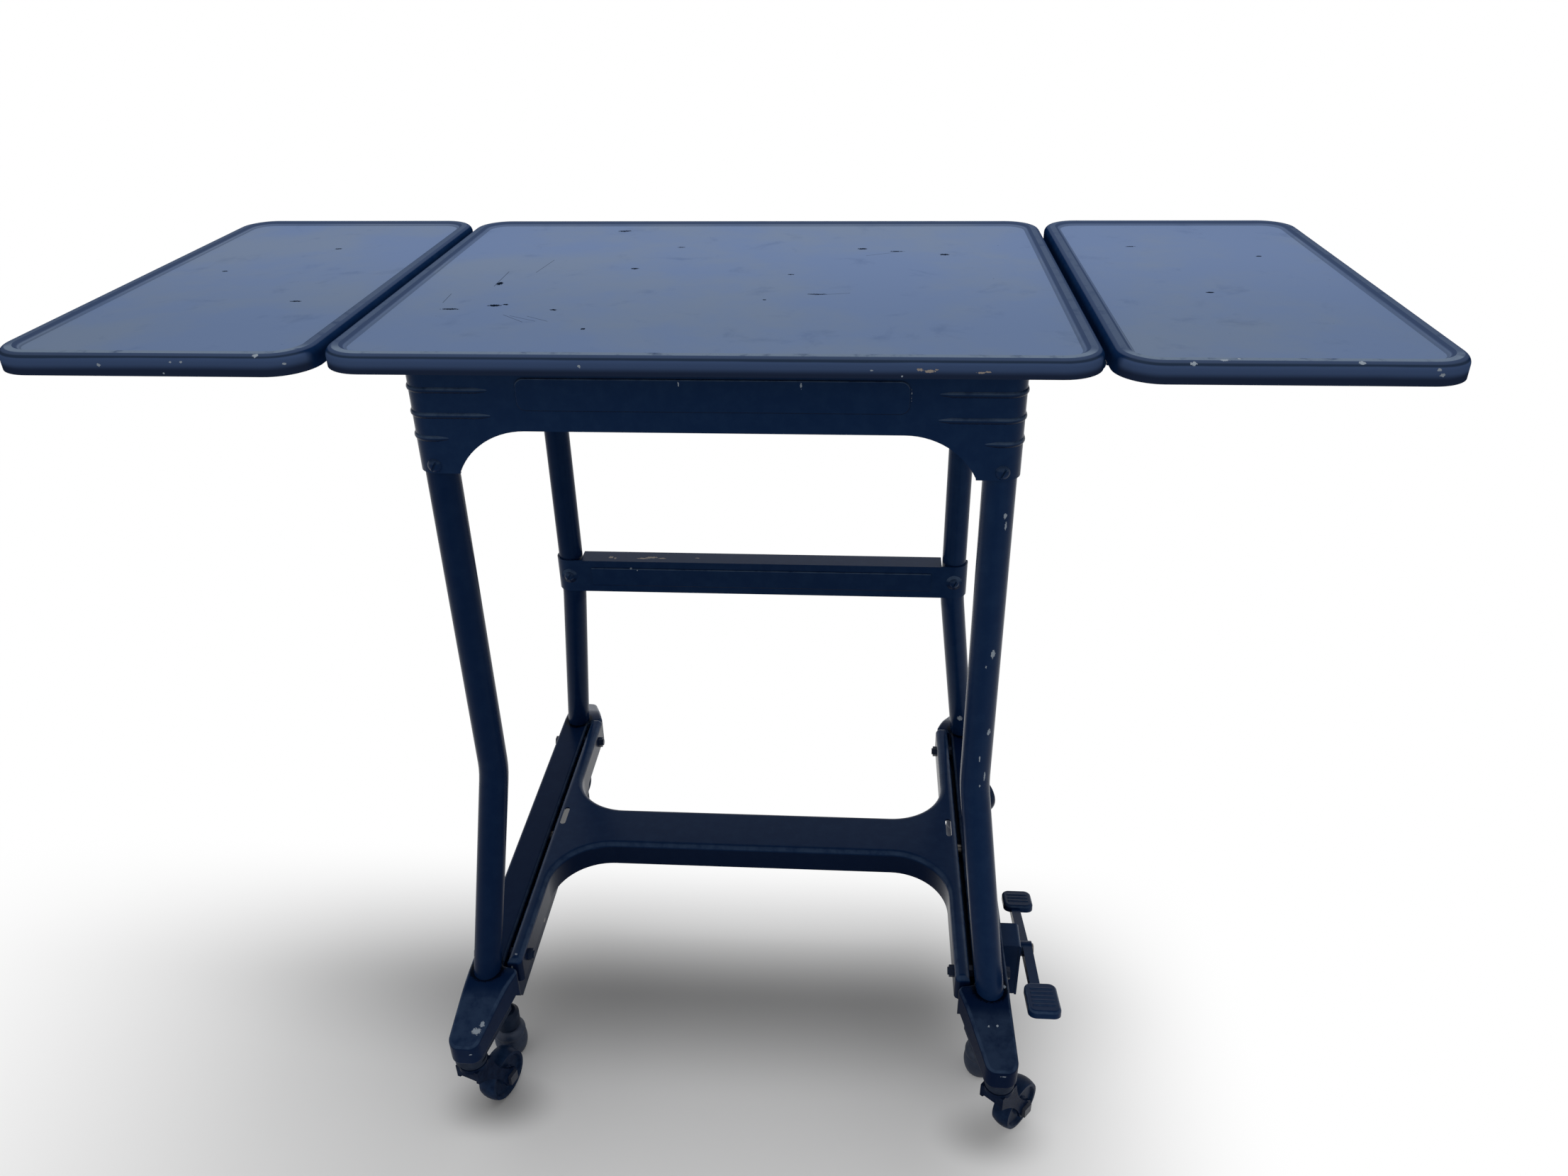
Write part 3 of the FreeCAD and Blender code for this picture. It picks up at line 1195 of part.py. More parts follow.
def main():
    os.makedirs("parts", exist_ok=True)
    leaf_x = leaf_inner_x + leaf_width / 2
    save("centre_top", tray(0, top_width, top_depth, top_skirt))
    save("left_leaf", tray(-leaf_x, leaf_width, leaf_depth, leaf_skirt))
    save("right_leaf", tray(leaf_x, leaf_width, leaf_depth, leaf_skirt))
    save("front_apron", end_apron(-1))
    save("rear_apron", end_apron(1))
    save("left_side_apron", side_apron(-1))
    save("right_side_apron", side_apron(1))
    for name, sx, sy in corners:
        save(name + "_leg", at_corner(leg() if sy < 0 else rear_leg(), sx, sy))
    save("cross_rail", cross_rail())
    save("left_rail", mirrored_x(right_rail()))
    save("right_rail", drilled_right_rail())
    save("base_plate", base_plate())
    save("leg_screws", leg_screws())
    save("cross_rail_screws", cross_screws())
    save("base_bolts", base_bolts())
    save("base_nuts", base_nuts())
    save("centre_hinges", hinge_set(-1, False, -1) + hinge_set(-1, False, 1))
    save("left_leaf_hinges", hinge_set(1, True, -1))
    save("right_leaf_hinges", hinge_set(1, True, 1))
    save("hinge_pins", hinge_pins())
    save("stay_stud_brackets", [stay_stud_bracket(), mirrored_x(stay_stud_bracket())])
    save("right_leaf_stay_bracket", stay_leaf_bracket())
    save("left_leaf_stay_bracket", mirrored_x(stay_leaf_bracket()))
    save("right_stay", stay())
    save("left_stay", mirrored_x(stay()))
    save("pedal", pedal())
    save("pedal_shaft", pedal_shaft())
    save("pedal_bracket", pedal_bracket())
    save("right_cam_bar", cam_bar())
    save("left_cam_bar", mirrored_x(cam_bar()))
    save("cross_shaft", cross_shaft())
    save("guide_studs", guide_studs())
    save("foot_guides", [at_corner(foot_guide(), sx, sy) for _, sx, sy in corners])
    save("caster_sockets", caster_sockets())
    for name, sx, sy in corners:
        save(name + "_foot", at_corner(foot(), sx, sy))
        save(name + "_foot_tip", at_corner(foot_tip(), sx, sy))
        save(name + "_caster_fork", place_caster(caster_fork(), name, sx, sy))
        save(name + "_caster_wheel", place_caster(caster_wheel(), name, sx, sy))
        save(name + "_caster_axle", place_caster(caster_axle(), name, sx, sy))


main()
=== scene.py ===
import bpy, bmesh, math
from mathutils import Vector, Matrix


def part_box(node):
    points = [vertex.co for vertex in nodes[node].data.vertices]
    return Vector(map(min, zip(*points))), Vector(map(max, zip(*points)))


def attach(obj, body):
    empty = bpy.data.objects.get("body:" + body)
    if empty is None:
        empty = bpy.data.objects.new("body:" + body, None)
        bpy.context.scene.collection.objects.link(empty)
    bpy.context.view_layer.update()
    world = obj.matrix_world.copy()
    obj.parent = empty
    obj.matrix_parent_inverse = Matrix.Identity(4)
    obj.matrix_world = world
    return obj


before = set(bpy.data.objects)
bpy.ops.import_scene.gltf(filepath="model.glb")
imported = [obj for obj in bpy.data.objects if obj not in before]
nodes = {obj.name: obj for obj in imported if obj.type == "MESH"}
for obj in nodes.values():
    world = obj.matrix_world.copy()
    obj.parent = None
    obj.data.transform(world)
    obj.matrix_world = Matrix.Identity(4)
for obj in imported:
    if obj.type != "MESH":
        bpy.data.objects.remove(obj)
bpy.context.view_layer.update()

perMetre = 1000.0      # marks and levels are written in millimetres
print("frame loaded:", len(nodes), "nodes")


# node helpers
def addNode(tree, kind, inputs=None, **settings):
    node = tree.nodes.new(kind)
    for name, value in settings.items():
        setattr(node, name, value)
    for name, value in (inputs or {}).items():
        socket = node.inputs[name]
        if isinstance(value, bpy.types.NodeSocket):
            tree.links.new(value, socket)
        else:
            socket.default_value = value
    return node


def number(tree, operation, a, b=0.0, clamp=False):
    return addNode(tree, "ShaderNodeMath", {0: a, 1: b}, operation=operation, use_clamp=clamp).outputs[0]


def times(tree, a, b):
    return number(tree, "MULTIPLY", a, b)


def opposite(tree, a):
    return number(tree, "SUBTRACT", 1.0, a)


def either(tree, a, b):
    # the stronger of two masks, or the second where there is no first
    return b if a is None else number(tree, "MAXIMUM", a, b)


def vector(tree, operation, a, b=(0.0, 0.0, 0.0), out="Vector"):
    return addNode(tree, "ShaderNodeVectorMath", {0: a, 1: b}, operation=operation).outputs[out]


def length(tree, a):
    return vector(tree, "LENGTH", a, out="Value")


def axes(tree, a):
    return addNode(tree, "ShaderNodeSeparateXYZ", {0: a}).outputs


def ramp(tree, value, low, high):
    # 0 at low, 1 at high and smooth between
    node = addNode(tree, "ShaderNodeMapRange", {"Value": value, "From Min": low, "From Max": high})
    node.interpolation_type = "SMOOTHSTEP"
    return node.outputs[0]


def noise(tree, coords, scale, detail, roughness=0.5, distortion=0.0, out=0):
    node = addNode(tree, "ShaderNodeTexNoise", {"Vector": coords, "Scale": scale, "Detail": detail,
                                                "Roughness": roughness, "Distortion": distortion})
    return node.outputs[out]


def mixColour(tree, factor, a, b):
    node = addNode(tree, "ShaderNodeMix", data_type="RGBA")
    for index, value in ((0, factor), (6, a), (7, b)):
        if isinstance(value, bpy.types.NodeSocket):
            tree.links.new(value, node.inputs[index])
        else:
            node.inputs[index].default_value = value if index == 0 else (*value, 1.0)
    return node.outputs[2]


def addBump(tree, shader, height, depth):
    bump = addNode(tree, "ShaderNodeBump", {"Height": height, "Distance": depth})
    tree.links.new(bump.outputs[0], shader.inputs["Normal"])


def seenDirectly(tree):
    # 1 for what the camera sees, also in a mirror or through glass
    path = addNode(tree, "ShaderNodeLightPath").outputs
    beyond = either(tree, path["Is Glossy Ray"], path["Is Transmission Ray"])
    return either(tree, path["Is Camera Ray"], beyond)


def startMaterial(name):
    material = bpy.data.materials.new(name)
    material.use_nodes = True
    tree = material.node_tree
    tree.nodes.clear()
    shader = addNode(tree, "ShaderNodeBsdfPrincipled")
    coords = addNode(tree, "ShaderNodeTexCoord").outputs
    return material, tree, shader, coords


def showSurface(tree, surface):
    addNode(tree, "ShaderNodeOutputMaterial", {"Surface": surface.outputs[0]})


# chips and scratches, and rings of painted shadow
markLook = {
    "chipSize": 0.8,         # times the half sizes that each chip is given
    "chipFull": 0.82,        # a chip is solid up to this share of its size
    "raggedScale": 900.0,    # grain of a chip's broken edge
    "raggedReach": 4.0,
    "dark": {"colour": (0.004, 0.008, 0.018), "ragged": 0.45},
    "pale": {"colour": (0.24, 0.28, 0.33), "ragged": 0.42},
    "beige": {"colour": (0.27, 0.235, 0.21), "ragged": 0.42},
    "rust": {"colour": (0.060, 0.030, 0.018), "ragged": 0.6},
    # rings of painted shadow round the legs' holes
    "ring": {"colour": (0.0003, 0.0006, 0.0020), "ragged": 0.12, "strength": 0.85},
    "scratchFull": 0.3,
    "scratchStrength": 0.7,
    "dent": 3.0,             # how deep a chip is beside the paint's own texture
}


def spots(tree, place, chips, ragged):
    # one mask for several chips: each is (x, y, z, half sizes along x, y and z)
    look = markLook
    jitter = noise(tree, place, look["raggedScale"], detail=2.0, out="Color")
    jitter = vector(tree, "SUBTRACT", jitter, (0.5, 0.5, 0.5))
    jitter = vector(tree, "MULTIPLY", jitter, (look["raggedReach"] * ragged,) * 3)
    mask = None
    for x, y, z, *sizes in chips:
        stretch = tuple(perMetre / (size * look["chipSize"]) for size in sizes)
        local = vector(tree, "SUBTRACT", place, (x / perMetre, y / perMetre, z / perMetre))
        local = vector(tree, "MULTIPLY", local, stretch)
        local = vector(tree, "ADD", local, jitter)
        mask = either(tree, mask, ramp(tree, length(tree, local), 1.0, look["chipFull"]))
    return mask


def scratches(tree, place, lines):
    # one mask for several straight scratches on a tray: each is (x0, y0, x1, y1, half width)
    flat = vector(tree, "MULTIPLY", place, (perMetre, perMetre, 0.0))
    mask = None
    for x0, y0, x1, y1, half in lines:
        along = Vector((x1 - x0, y1 - y0, 0.0))
        start = vector(tree, "SUBTRACT", flat, (x0, y0, 0.0))
        share = vector(tree, "DOT_PRODUCT", start, tuple(along / along.length_squared), out="Value")
        share = number(tree, "ADD", share, 0.0, clamp=True)
        nearest = addNode(tree, "ShaderNodeVectorMath", {0: tuple(along), "Scale": share},
                          operation="SCALE").outputs[0]
        away = vector(tree, "DISTANCE", start, nearest, out="Value")
        mask = either(tree, mask, ramp(tree, away, half, half * markLook["scratchFull"]))
    return mask


# dark blue enamel; a pair is where a change starts and where it is full
enamelLook = {
    "navy": (0.0030, 0.0138, 0.0500),
    "navyLight": (0.0050, 0.0180, 0.0570),
    # darker navy for painted shade
    "paintedShadeNavy": (0.0012, 0.0045, 0.0200),
    # painted highlight on rounded edges and on the upper faces of beads
    "paintedHighlightColour": (0.040, 0.066, 0.118),
    "roughness": 0.27,
    "specular": 0.085,
    "specularTint": (0.45, 0.70, 1.0, 1.0),
    "fineScale": 90.0,                # mottling of the two navies
    "fineMix": (0.35, 0.75),
    "peelScale": 420.0,               # texture of the sprayed paint
    "peelDepth": 0.00004,
    "bend": (0.22, 0.50),             # how far up a rounded edge faces, for its painted highlight
    "beadBend": (0.05, 0.26),         # the same on pressed beads
    "bendTop": (0.97, 0.85),          # no painted highlight on faces that look straight up
    "bendBroken": (0.15, 0.65),
    # painted shade on the lower faces of pressed beads
    "beadPaintedShade": (-0.05, -0.30),
    "beadPaintedShadeStrength": 0.8,
    "wallUpright": (0.30, 0.05),      # painted shade: the base plate's walls are darker than its top
    "wallLevel": (0.1275, 0.1255),    # along z, in metres
}

# the trays: slate panels, partly dust and bleaching and partly a painted reflection; dark rims and lips
# banded by painted reflections; a light line along the crest, painted highlight and wear
trayLook = {
    "slate": (0.108, 0.154, 0.262),
    "slateGrey": (0.122, 0.162, 0.240),
    "rimBlue": (0.040, 0.068, 0.145),
    "rimTop": (0.022, 0.038, 0.084),
    "lipLow": (0.0125, 0.0205, 0.0460),
    "shade": (0.016, 0.028, 0.055),
    "crestHighlightAndWear": (0.125, 0.165, 0.230),
    "roughness": 0.46,
    # no reflection of their own: it is painted into the colours above
    "specular": 0.0,
    "cloudScale": 7.0,
    "cloudMix": (0.38, 0.64),
    "waver": 1.6,                     # how much the bands' edges wander
    "smudgeScale": 26.0,
    "smudgeMix": (0.56, 0.78),
    "smudgeStrength": 0.30,
    # the panels lighter towards the back
    "rearLighter": (1.20, 1.18, 1.18),
    "rearLighterPlace": (-0.15, 0.12),   # along y, in metres
    "level": (0.72, 0.84),            # how far up a face looks to take the panel's colour
    "outward": (0.3, 0.55),           # how far out a lip looks, front and rear
    # painted reflection: the rim's top darker
    "rimTopLevel": (651.0, 652.0),
    "rimTopStrength": 0.85,
    "footSlope": (0.96, 0.90),        # painted shade where the panel turns up into the rim
    "footLevel": (651.6, 650.9),
    "footStrength": 0.42,
    # painted reflection on the lip: darker low, lighter blue higher, a dark band along its top
    "lipLevel": (642.8, 647.2),
    "lipShadeLevel": (650.0, 650.9),
    # light line along the crest: painted highlight and wear
    "crestSlope": (0.955, 0.985),
    "crestLevel": (652.3, 652.7),
    "crestStrength": 0.25,
    "crestFront": (-0.160, -0.172),   # along y, in metres
    "crestFrontStrength": 0.7,
    "crestBroken": (0.2, 0.5),
    "speckScale": 190.0,              # pitting
    "speckMix": (0.69, 0.72),
    "patchScale": 13.0,
    "patchMix": (0.50, 0.62),
}


def trayColour(tree, coords, side, fine):
    look = trayLook
    place = coords["Object"]
    normal, spot = axes(tree, coords["Normal"]), axes(tree, place)
    cloud = noise(tree, place, look["cloudScale"], detail=5.0, roughness=0.6)
    level = times(tree, spot[2], perMetre)
    wavy = number(tree, "ADD", level, times(tree, number(tree, "SUBTRACT", cloud, 0.5), look["waver"]))
    outward = times(tree, normal[1], number(tree, "SIGN", spot[1]))
    faceUp = ramp(tree, normal[2], *look["level"])
    # panel and rim: the panel's slate is partly dust and bleaching, partly painted reflection
    panel = mixColour(tree, ramp(tree, cloud, *look["cloudMix"]), look["slate"], look["slateGrey"])
    smudge = noise(tree, place, look["smudgeScale"], detail=5.0, roughness=0.62, distortion=0.3)
    smudge = times(tree, ramp(tree, smudge, *look["smudgeMix"]), look["smudgeStrength"])
    panel = mixColour(tree, smudge, panel, look["rimBlue"])
    # lighter towards the back
    lighterBack = vector(tree, "MULTIPLY", panel, look["rearLighter"])
    panel = mixColour(tree, ramp(tree, spot[1], *look["rearLighterPlace"]), panel, lighterBack)
    # painted reflection: the rim's top darker
    rim = times(tree, ramp(tree, level, *look["rimTopLevel"]), look["rimTopStrength"])
    panel = mixColour(tree, rim, panel, look["rimTop"])
    # painted shade where the panel turns up into the rim
    foot = times(tree, ramp(tree, normal[2], *look["footSlope"]), ramp(tree, wavy, *look["footLevel"]))
    panel = mixColour(tree, times(tree, foot, look["footStrength"]), panel, look["shade"])
    # lip: painted reflection, lighter blue higher up, dark low and in a band along its top
    lip = mixColour(tree, ramp(tree, wavy, *look["lipLevel"]), look["lipLow"], look["rimBlue"])
    lip = mixColour(tree, ramp(tree, wavy, *look["lipShadeLevel"]), lip, look["shade"])
    colour = mixColour(tree, ramp(tree, outward, *look["outward"]), side, lip)
    colour = mixColour(tree, faceUp, colour, panel)
    # light line along the crest, strongest at the front: painted highlight and wear
    crest = times(tree, ramp(tree, normal[2], *look["crestSlope"]), ramp(tree, level, *look["crestLevel"]))
    front = times(tree, ramp(tree, spot[1], *look["crestFront"]), look["crestFrontStrength"])
    crest = times(tree, crest, number(tree, "ADD", front, look["crestStrength"]))
    crest = times(tree, crest, ramp(tree, fine, *look["crestBroken"]))
    colour = mixColour(tree, crest, colour, look["crestHighlightAndWear"])
    # pitted paint
    specks = noise(tree, place, look["speckScale"], detail=8.0, roughness=0.72)
    patches = noise(tree, place, look["patchScale"], detail=3.0)
    pitted = times(tree, ramp(tree, specks, *look["speckMix"]), ramp(tree, patches, *look["patchMix"]))
    colour = mixColour(tree, times(tree, pitted, faceUp), colour, markLook["dark"]["colour"])
    rough = times(tree, faceUp, look["roughness"] - enamelLook["roughness"])
    return colour, number(tree, "ADD", rough, enamelLook["roughness"])


def frameColour(tree, coords, side, fine, paintedHighlight, beads, wallShade):
    look = enamelLook
    up = axes(tree, coords["Normal"])[2]
    # painted highlight on edges and beads that face partly up
    bend = ramp(tree, up, *look["beadBend" if beads else "bend"])
    bend = times(tree, bend, ramp(tree, up, *look["bendTop"]))
    paintedHighlightMask = times(tree, times(tree, bend, ramp(tree, fine, *look["bendBroken"])), paintedHighlight)
    colour = mixColour(tree, paintedHighlightMask, side, look["paintedHighlightColour"])
    if beads:
        # painted shade on the beads' lower faces
        under = times(tree, ramp(tree, up, *look["beadPaintedShade"]), look["beadPaintedShadeStrength"])
        colour = mixColour(tree, under, colour, look["paintedShadeNavy"])
    if wallShade:
        # painted shade on upright walls and on all below the top's rounding
        level = axes(tree, coords["Object"])[2]
        low = either(tree, ramp(tree, up, *look["wallUpright"]), ramp(tree, level, *look["wallLevel"]))
        colour = mixColour(tree, times(tree, low, wallShade), colour, look["paintedShadeNavy"])
    return colour


def enamel(name, tray=False, deep=0.0, paintedHighlight=0.6, beads=False, wallShade=0.0, ring=(), lines=(), **chips):
    look = enamelLook
    material, tree, shader, coords = startMaterial(name)
    place = coords["Object"]
    fine = noise(tree, place, look["fineScale"], detail=3.0, roughness=0.6)
    side = mixColour(tree, ramp(tree, fine, *look["fineMix"]), look["navy"], look["navyLight"])
    # painted shade: the whole piece darker
    if deep:
        side = mixColour(tree, deep, side, look["paintedShadeNavy"])
    if tray:
        colour, roughness = trayColour(tree, coords, side, fine)
        tree.links.new(roughness, shader.inputs["Roughness"])
        specular = trayLook["specular"]
    else:
        colour = frameColour(tree, coords, side, fine, paintedHighlight, beads, wallShade)
        shader.inputs["Roughness"].default_value = look["roughness"]
        # less reflection where shade is painted on the whole piece
        specular = look["specular"] * (1 - deep)
    if ring:
        # painted shadow round the legs' holes
        holeShade = markLook["ring"]
        mask = times(tree, spots(tree, place, ring, holeShade["ragged"]), holeShade["strength"])
        colour = mixColour(tree, mask, colour, holeShade["colour"])
    dent = None
    for kind in ("dark", "pale", "beige", "rust"):
        if kind in chips:
            mask = spots(tree, place, chips[kind], markLook[kind]["ragged"])
            colour = mixColour(tree, mask, colour, markLook[kind]["colour"])
            dent = either(tree, dent, mask)
    if lines:
        mask = scratches(tree, place, lines)
        strength = times(tree, mask, markLook["scratchStrength"])
        colour = mixColour(tree, strength, colour, markLook["dark"]["colour"])
        dent = either(tree, dent, mask)
    tree.links.new(colour, shader.inputs["Base Color"])
    shader.inputs["Specular IOR Level"].default_value = specular
    shader.inputs["Specular Tint"].default_value = look["specularTint"]
    height = noise(tree, place, look["peelScale"], detail=2.0)
    if dent is not None:
        height = number(tree, "SUBTRACT", height, times(tree, dent, markLook["dent"]))
    addBump(tree, shader, height, look["peelDepth"])
    showSurface(tree, shader)
    return material


def paint(material, *names):
    for name in names:
        mesh = nodes[name].data
        if not mesh.materials:
            mesh.materials.append(material)
        for index in range(len(mesh.materials)):
            mesh.materials[index] = material


paint(enamel("navyEnamel"), *nodes)     # every node first, then those with a finish of their own

centreTop = {
    "name": "trayEnamel",
    "tray": True,
    "beige": [(133, -183, 645.6, 4.2, 4, 1.2), (127.5, -183, 646.6, 2.4, 4, 1.1),
              (137, -183, 646.7, 1.4, 4, 0.6), (163, -183, 645.0, 3.6, 4, 0.8),
              (167, -183, 645.5, 2.6, 4, 0.7)],
    "pale": [(99, -183, 646, 1.1, 3, 0.7), (-74, -183, 647, 1.2, 3, 1.4), (117, -183, 642.5, 0.8, 3, 0.8)],
    "dark": [(-168.9, -12.8, 650.4, 3, 6, 3), (-156.8, -68.5, 650.4, 6, 3, 3),
             (-150, -66, 650.4, 2.5, 2, 3), (-185, -77.3, 650.4, 8, 2.2, 3),
             (-114.1, -78, 650.4, 3.4, 2, 3), (-107.6, 152.4, 650.4, 7, 3, 3),
             (92, 91.6, 650.4, 4.5, 3, 3), (154.7, 73.9, 650.4, 4.5, 3, 3), (26, -52, 650.4, 1.6, 1.6, 3),
             (61.1, -37.9, 650.4, 9, 1.4, 3), (-78, 30, 650.4, 4, 2.5, 3), (40, 14, 650.4, 3, 1.5, 3),
             (118, 84, 650.4, 6, 1.6, 3), (-52, 96, 650.4, 4, 1.5, 3), (-85, -120, 650.4, 1.8, 2, 3)],
    "lines": [(-171, -20, -171, 20, 0.35), (-150, 18, -145, 55, 0.3), (-195, -62, -196, -40, 0.3),
              (-140, -92, -120, -104, 0.3), (-145, -90, -128, -106, 0.3), (-128, -93, -112, -104, 0.3),
              (60, -40, 84, -35, 0.4), (95, 70, 125, 84, 0.35)],
}
paint(enamel(**centreTop), "centre_top")

leftLeaf = {
    "name": "leftLeafEnamel",
    "tray": True,
    "pale": [(-369.5, -185, 646.4, 1.6, 3, 1.3), (-323.9, -185, 648.5, 1.0, 3, 0.8),
             (-317.2, -185, 648.6, 1.2, 3, 0.8), (-271.3, -182, 652, 2.6, 2.5, 1.5),
             (-254.9, -181.2, 646.9, 1.4, 3, 1.0), (-330, -185, 641.5, 0.8, 3, 0.8)],
    "dark": [(-300, -60, 650.4, 5, 2, 3), (-390, 20, 650.4, 3, 2, 3), (-330, 90, 650.4, 4, 2, 3)],
}
paint(enamel(**leftLeaf), "left_leaf")

rightLeaf = {
    "name": "rightLeafEnamel",
    "tray": True,
    "pale": [(282.7, -183.2, 651.5, 2.4, 2.5, 1.4), (300.6, -180.6, 652.9, 3.4, 1.5, 1.5),
             (309.1, -178.3, 653, 1.2, 1.2, 1.5), (376.7, -182.2, 652.3, 2.6, 2, 1.3),
             (418.8, -184.6, 649.3, 1.6, 2.5, 1.2), (421.3, -184.8, 646.3, 2.0, 3, 1.6)],
    "dark": [(330, -30, 650.4, 4, 2, 3), (390, 70, 650.4, 3, 2, 3), (300, 100, 650.4, 5, 1.5, 3)],
}
paint(enamel(**rightLeaf), "right_leaf")
print("tray finishes done")

# the left legs darkened by painted shade
leftLegs = {"name": "legEnamel", "deep": 0.4}
paint(enamel(**leftLegs), "front_left_leg", "rear_left_leg")

frontRightLeg = {
    "name": "frontLegEnamel",
    "pale": [(187.8, -152.2, 538, 1.6, 3, 2.6), (188.8, -151.7, 530.6, 0.9, 3, 4),
             (187.7, -152.2, 431.7, 2.2, 3, 4.2), (183.5, -153.1, 421.6, 0.7, 3, 1.4),
             (189.6, -151.2, 364.4, 1.8, 3, 3.6), (184.4, -153.1, 341.4, 0.7, 3, 3.4),
             (189.3, -151.4, 324.5, 0.8, 3, 5.5), (186.1, -152.8, 316.3, 1.0, 3, 1.4)],
}
paint(enamel(**frontRightLeg), "front_right_leg")

rearRightLeg = {"name": "rearLegEnamel", "pale": [(201.1, 158.2, 153.5, 3.5, 4, 4.5)]}
paint(enamel(**rearRightLeg), "rear_right_leg")

crossRail = {
    "name": "crossRailEnamel",
    "paintedHighlight": 1.0,
    "beads": True,
    "beige": [(-143.5, 137.7, 347, 3.0, 2.4, 2), (-139, 136, 347, 1.6, 1.5, 2),
              (-112, 136.2, 347, 7.5, 1.6, 2), (-104, 138.4, 347, 7.0, 2.2, 2),
              (-94, 137.3, 347, 4.5, 1.3, 2), (-60, 139, 347, 3.0, 0.8, 2)],
    "pale": [(-123.2, 128.5, 339.9, 1.5, 2, 1.2), (-117, 128.5, 338.5, 1.0, 2, 1.0)],
}
paint(enamel(**crossRail), "cross_rail")

frontApron = {
    "name": "apronEnamel",
    "paintedHighlight": 1.0,
    "beads": True,
    # the last pale mark is a painted highlight along the raised panel's right edge; the others are chips
    "pale": [(-19.7, -155.6, 626.8, 0.8, 2, 2.4), (56.3, -155.6, 626.3, 0.8, 2, 2.4),
             (124.3, -156.4, 620.5, 0.5, 2, 11)],
}
paint(enamel(**frontApron), "front_apron")

otherAprons = {"name": "sideApronEnamel", "paintedHighlight": 1.0, "beads": True}
paint(enamel(**otherAprons), "rear_apron", "left_side_apron", "right_side_apron")

rightRail = {
    "name": "rightRailEnamel",
    # painted shade darkens the whole rail
    "deep": 0.75,
    "pale": [(202.3, -204.5, 119.7, 1.2, 1.0, 2), (209, -203.8, 120.1, 1.2, 1.2, 2),
             (212.4, -233.9, 100.6, 4.5, 3, 0.8), (193.8, -164, 122, 1, 2, 1.6),
             (217, -171.6, 128, 1.6, 2.2, 2)],
    "rust": [(212.6, -236, 84.5, 14, 5, 1.6)],
    "ring": [(205, side * 174, 128, 20, 21.5, 4) for side in (-1, 1)],      # painted shadow round the legs' holes
}
paint(enamel(**rightRail), "right_rail")

leftRail = {
    "name": "leftRailEnamel",
    # painted shade darkens the whole rail
    "deep": 0.45,
    "pale": [(-202.5, -223.1, 110.9, 5.2, 3.4, 3), (-199, -218, 113, 2.4, 3.0, 3),
             (-205.6, -234.2, 98.0, 1.8, 3, 0.9), (-221, -230, 104, 1.4, 2, 0.9),
             (-193.8, -180.7, 122.6, 1.2, 1.6, 2)],
    "rust": [(-212.6, -236, 84.5, 14, 5, 1.6)],
    # painted shadow round the legs' holes
    "ring": [(-205, side * 174, 128, 20, 21.5, 4) for side in (-1, 1)],
}
paint(enamel(**leftRail), "left_rail")

basePlate = {
    "name": "basePlateEnamel",
    "paintedHighlight": 0.45,
    "wallShade": 0.75,
    "pale": [(-183.7, -162.4, 132.4, 1.4, 1.2, 3), (-186.4, -167.6, 124.4, 1.4, 3, 3.4)],
}
paint(enamel(**basePlate), "base_plate")

pedal = {"name": "pedalEnamel", "pale": [(252, -196, 119, 1.6, 1.6, 2.5)]}
paint(enamel(**pedal), "pedal")
print("frame finishes done")


# hardware: two tones mixed by a grain, with patches of wear or rust
patchLook = {
    "grainMix": (0.3, 0.7),
    "blotchScale": 1.7,      # times the grain's scale
    "bumpScale": 9.0,
    "most": 0.72,            # threshold of a patch when its amount is 0
    "reach": 0.24,           # how far a full amount lowers it
    "soft": 0.08,
}


def plainFinish(name, low, high, patch, amount, roughness, scale,
                depth=0.00006, specular=0.4, metallic=0.0):
    look = patchLook
    material, tree, shader, coords = startMaterial(name)
    place = coords["Object"]
    grain = noise(tree, place, scale, detail=6.0, roughness=0.65)
    colour = mixColour(tree, ramp(tree, grain, *look["grainMix"]), low, high)
    blotch = noise(tree, place, scale * look["blotchScale"], detail=5.0, roughness=0.7, distortion=0.4)
    edge = look["most"] - look["reach"] * amount
    colour = mixColour(tree, ramp(tree, blotch, edge, edge + look["soft"]), colour, patch)
    tree.links.new(colour, shader.inputs["Base Color"])
    shader.inputs["Roughness"].default_value = roughness
    shader.inputs["Metallic"].default_value = metallic
    shader.inputs["Specular IOR Level"].default_value = specular
    addBump(tree, shader, noise(tree, place, scale * look["bumpScale"], detail=3.0), depth)
    showSurface(tree, shader)
    return material


def atCorners(ending):
    return [front + side + ending for front in ("front_", "rear_") for side in ("left", "right")]


footCups = {
    "name": "rustyPaint",
    "low": (0.004, 0.010, 0.026), "high": (0.010, 0.019, 0.040),
    "patch": (0.034, 0.025, 0.024), "amount": 0.3,
    "roughness": 0.5, "scale": 110.0, "depth": 0.00012, "specular": 0.1,
}
paint(plainFinish(**footCups), "caster_sockets", *atCorners("_foot"))

casterFork = {
    "name": "casterSteel",
    "low": (0.0015, 0.006, 0.022), "high": (0.006, 0.014, 0.038),
    "patch": (0.12, 0.15, 0.20), "amount": 0.04,
    "roughness": 0.26, "scale": 140.0, "depth": 0.0001, "specular": 0.015,
}
paint(plainFinish(**casterFork), *atCorners("_caster_fork"))

casterAxle = {
    "name": "axleSteel",
    "low": (0.012, 0.016, 0.030), "high": (0.03, 0.036, 0.055),
    "patch": (0.30, 0.31, 0.33), "amount": 0.3,
    "roughness": 0.4, "scale": 150.0,
}
paint(plainFinish(**casterAxle), *atCorners("_caster_axle"))

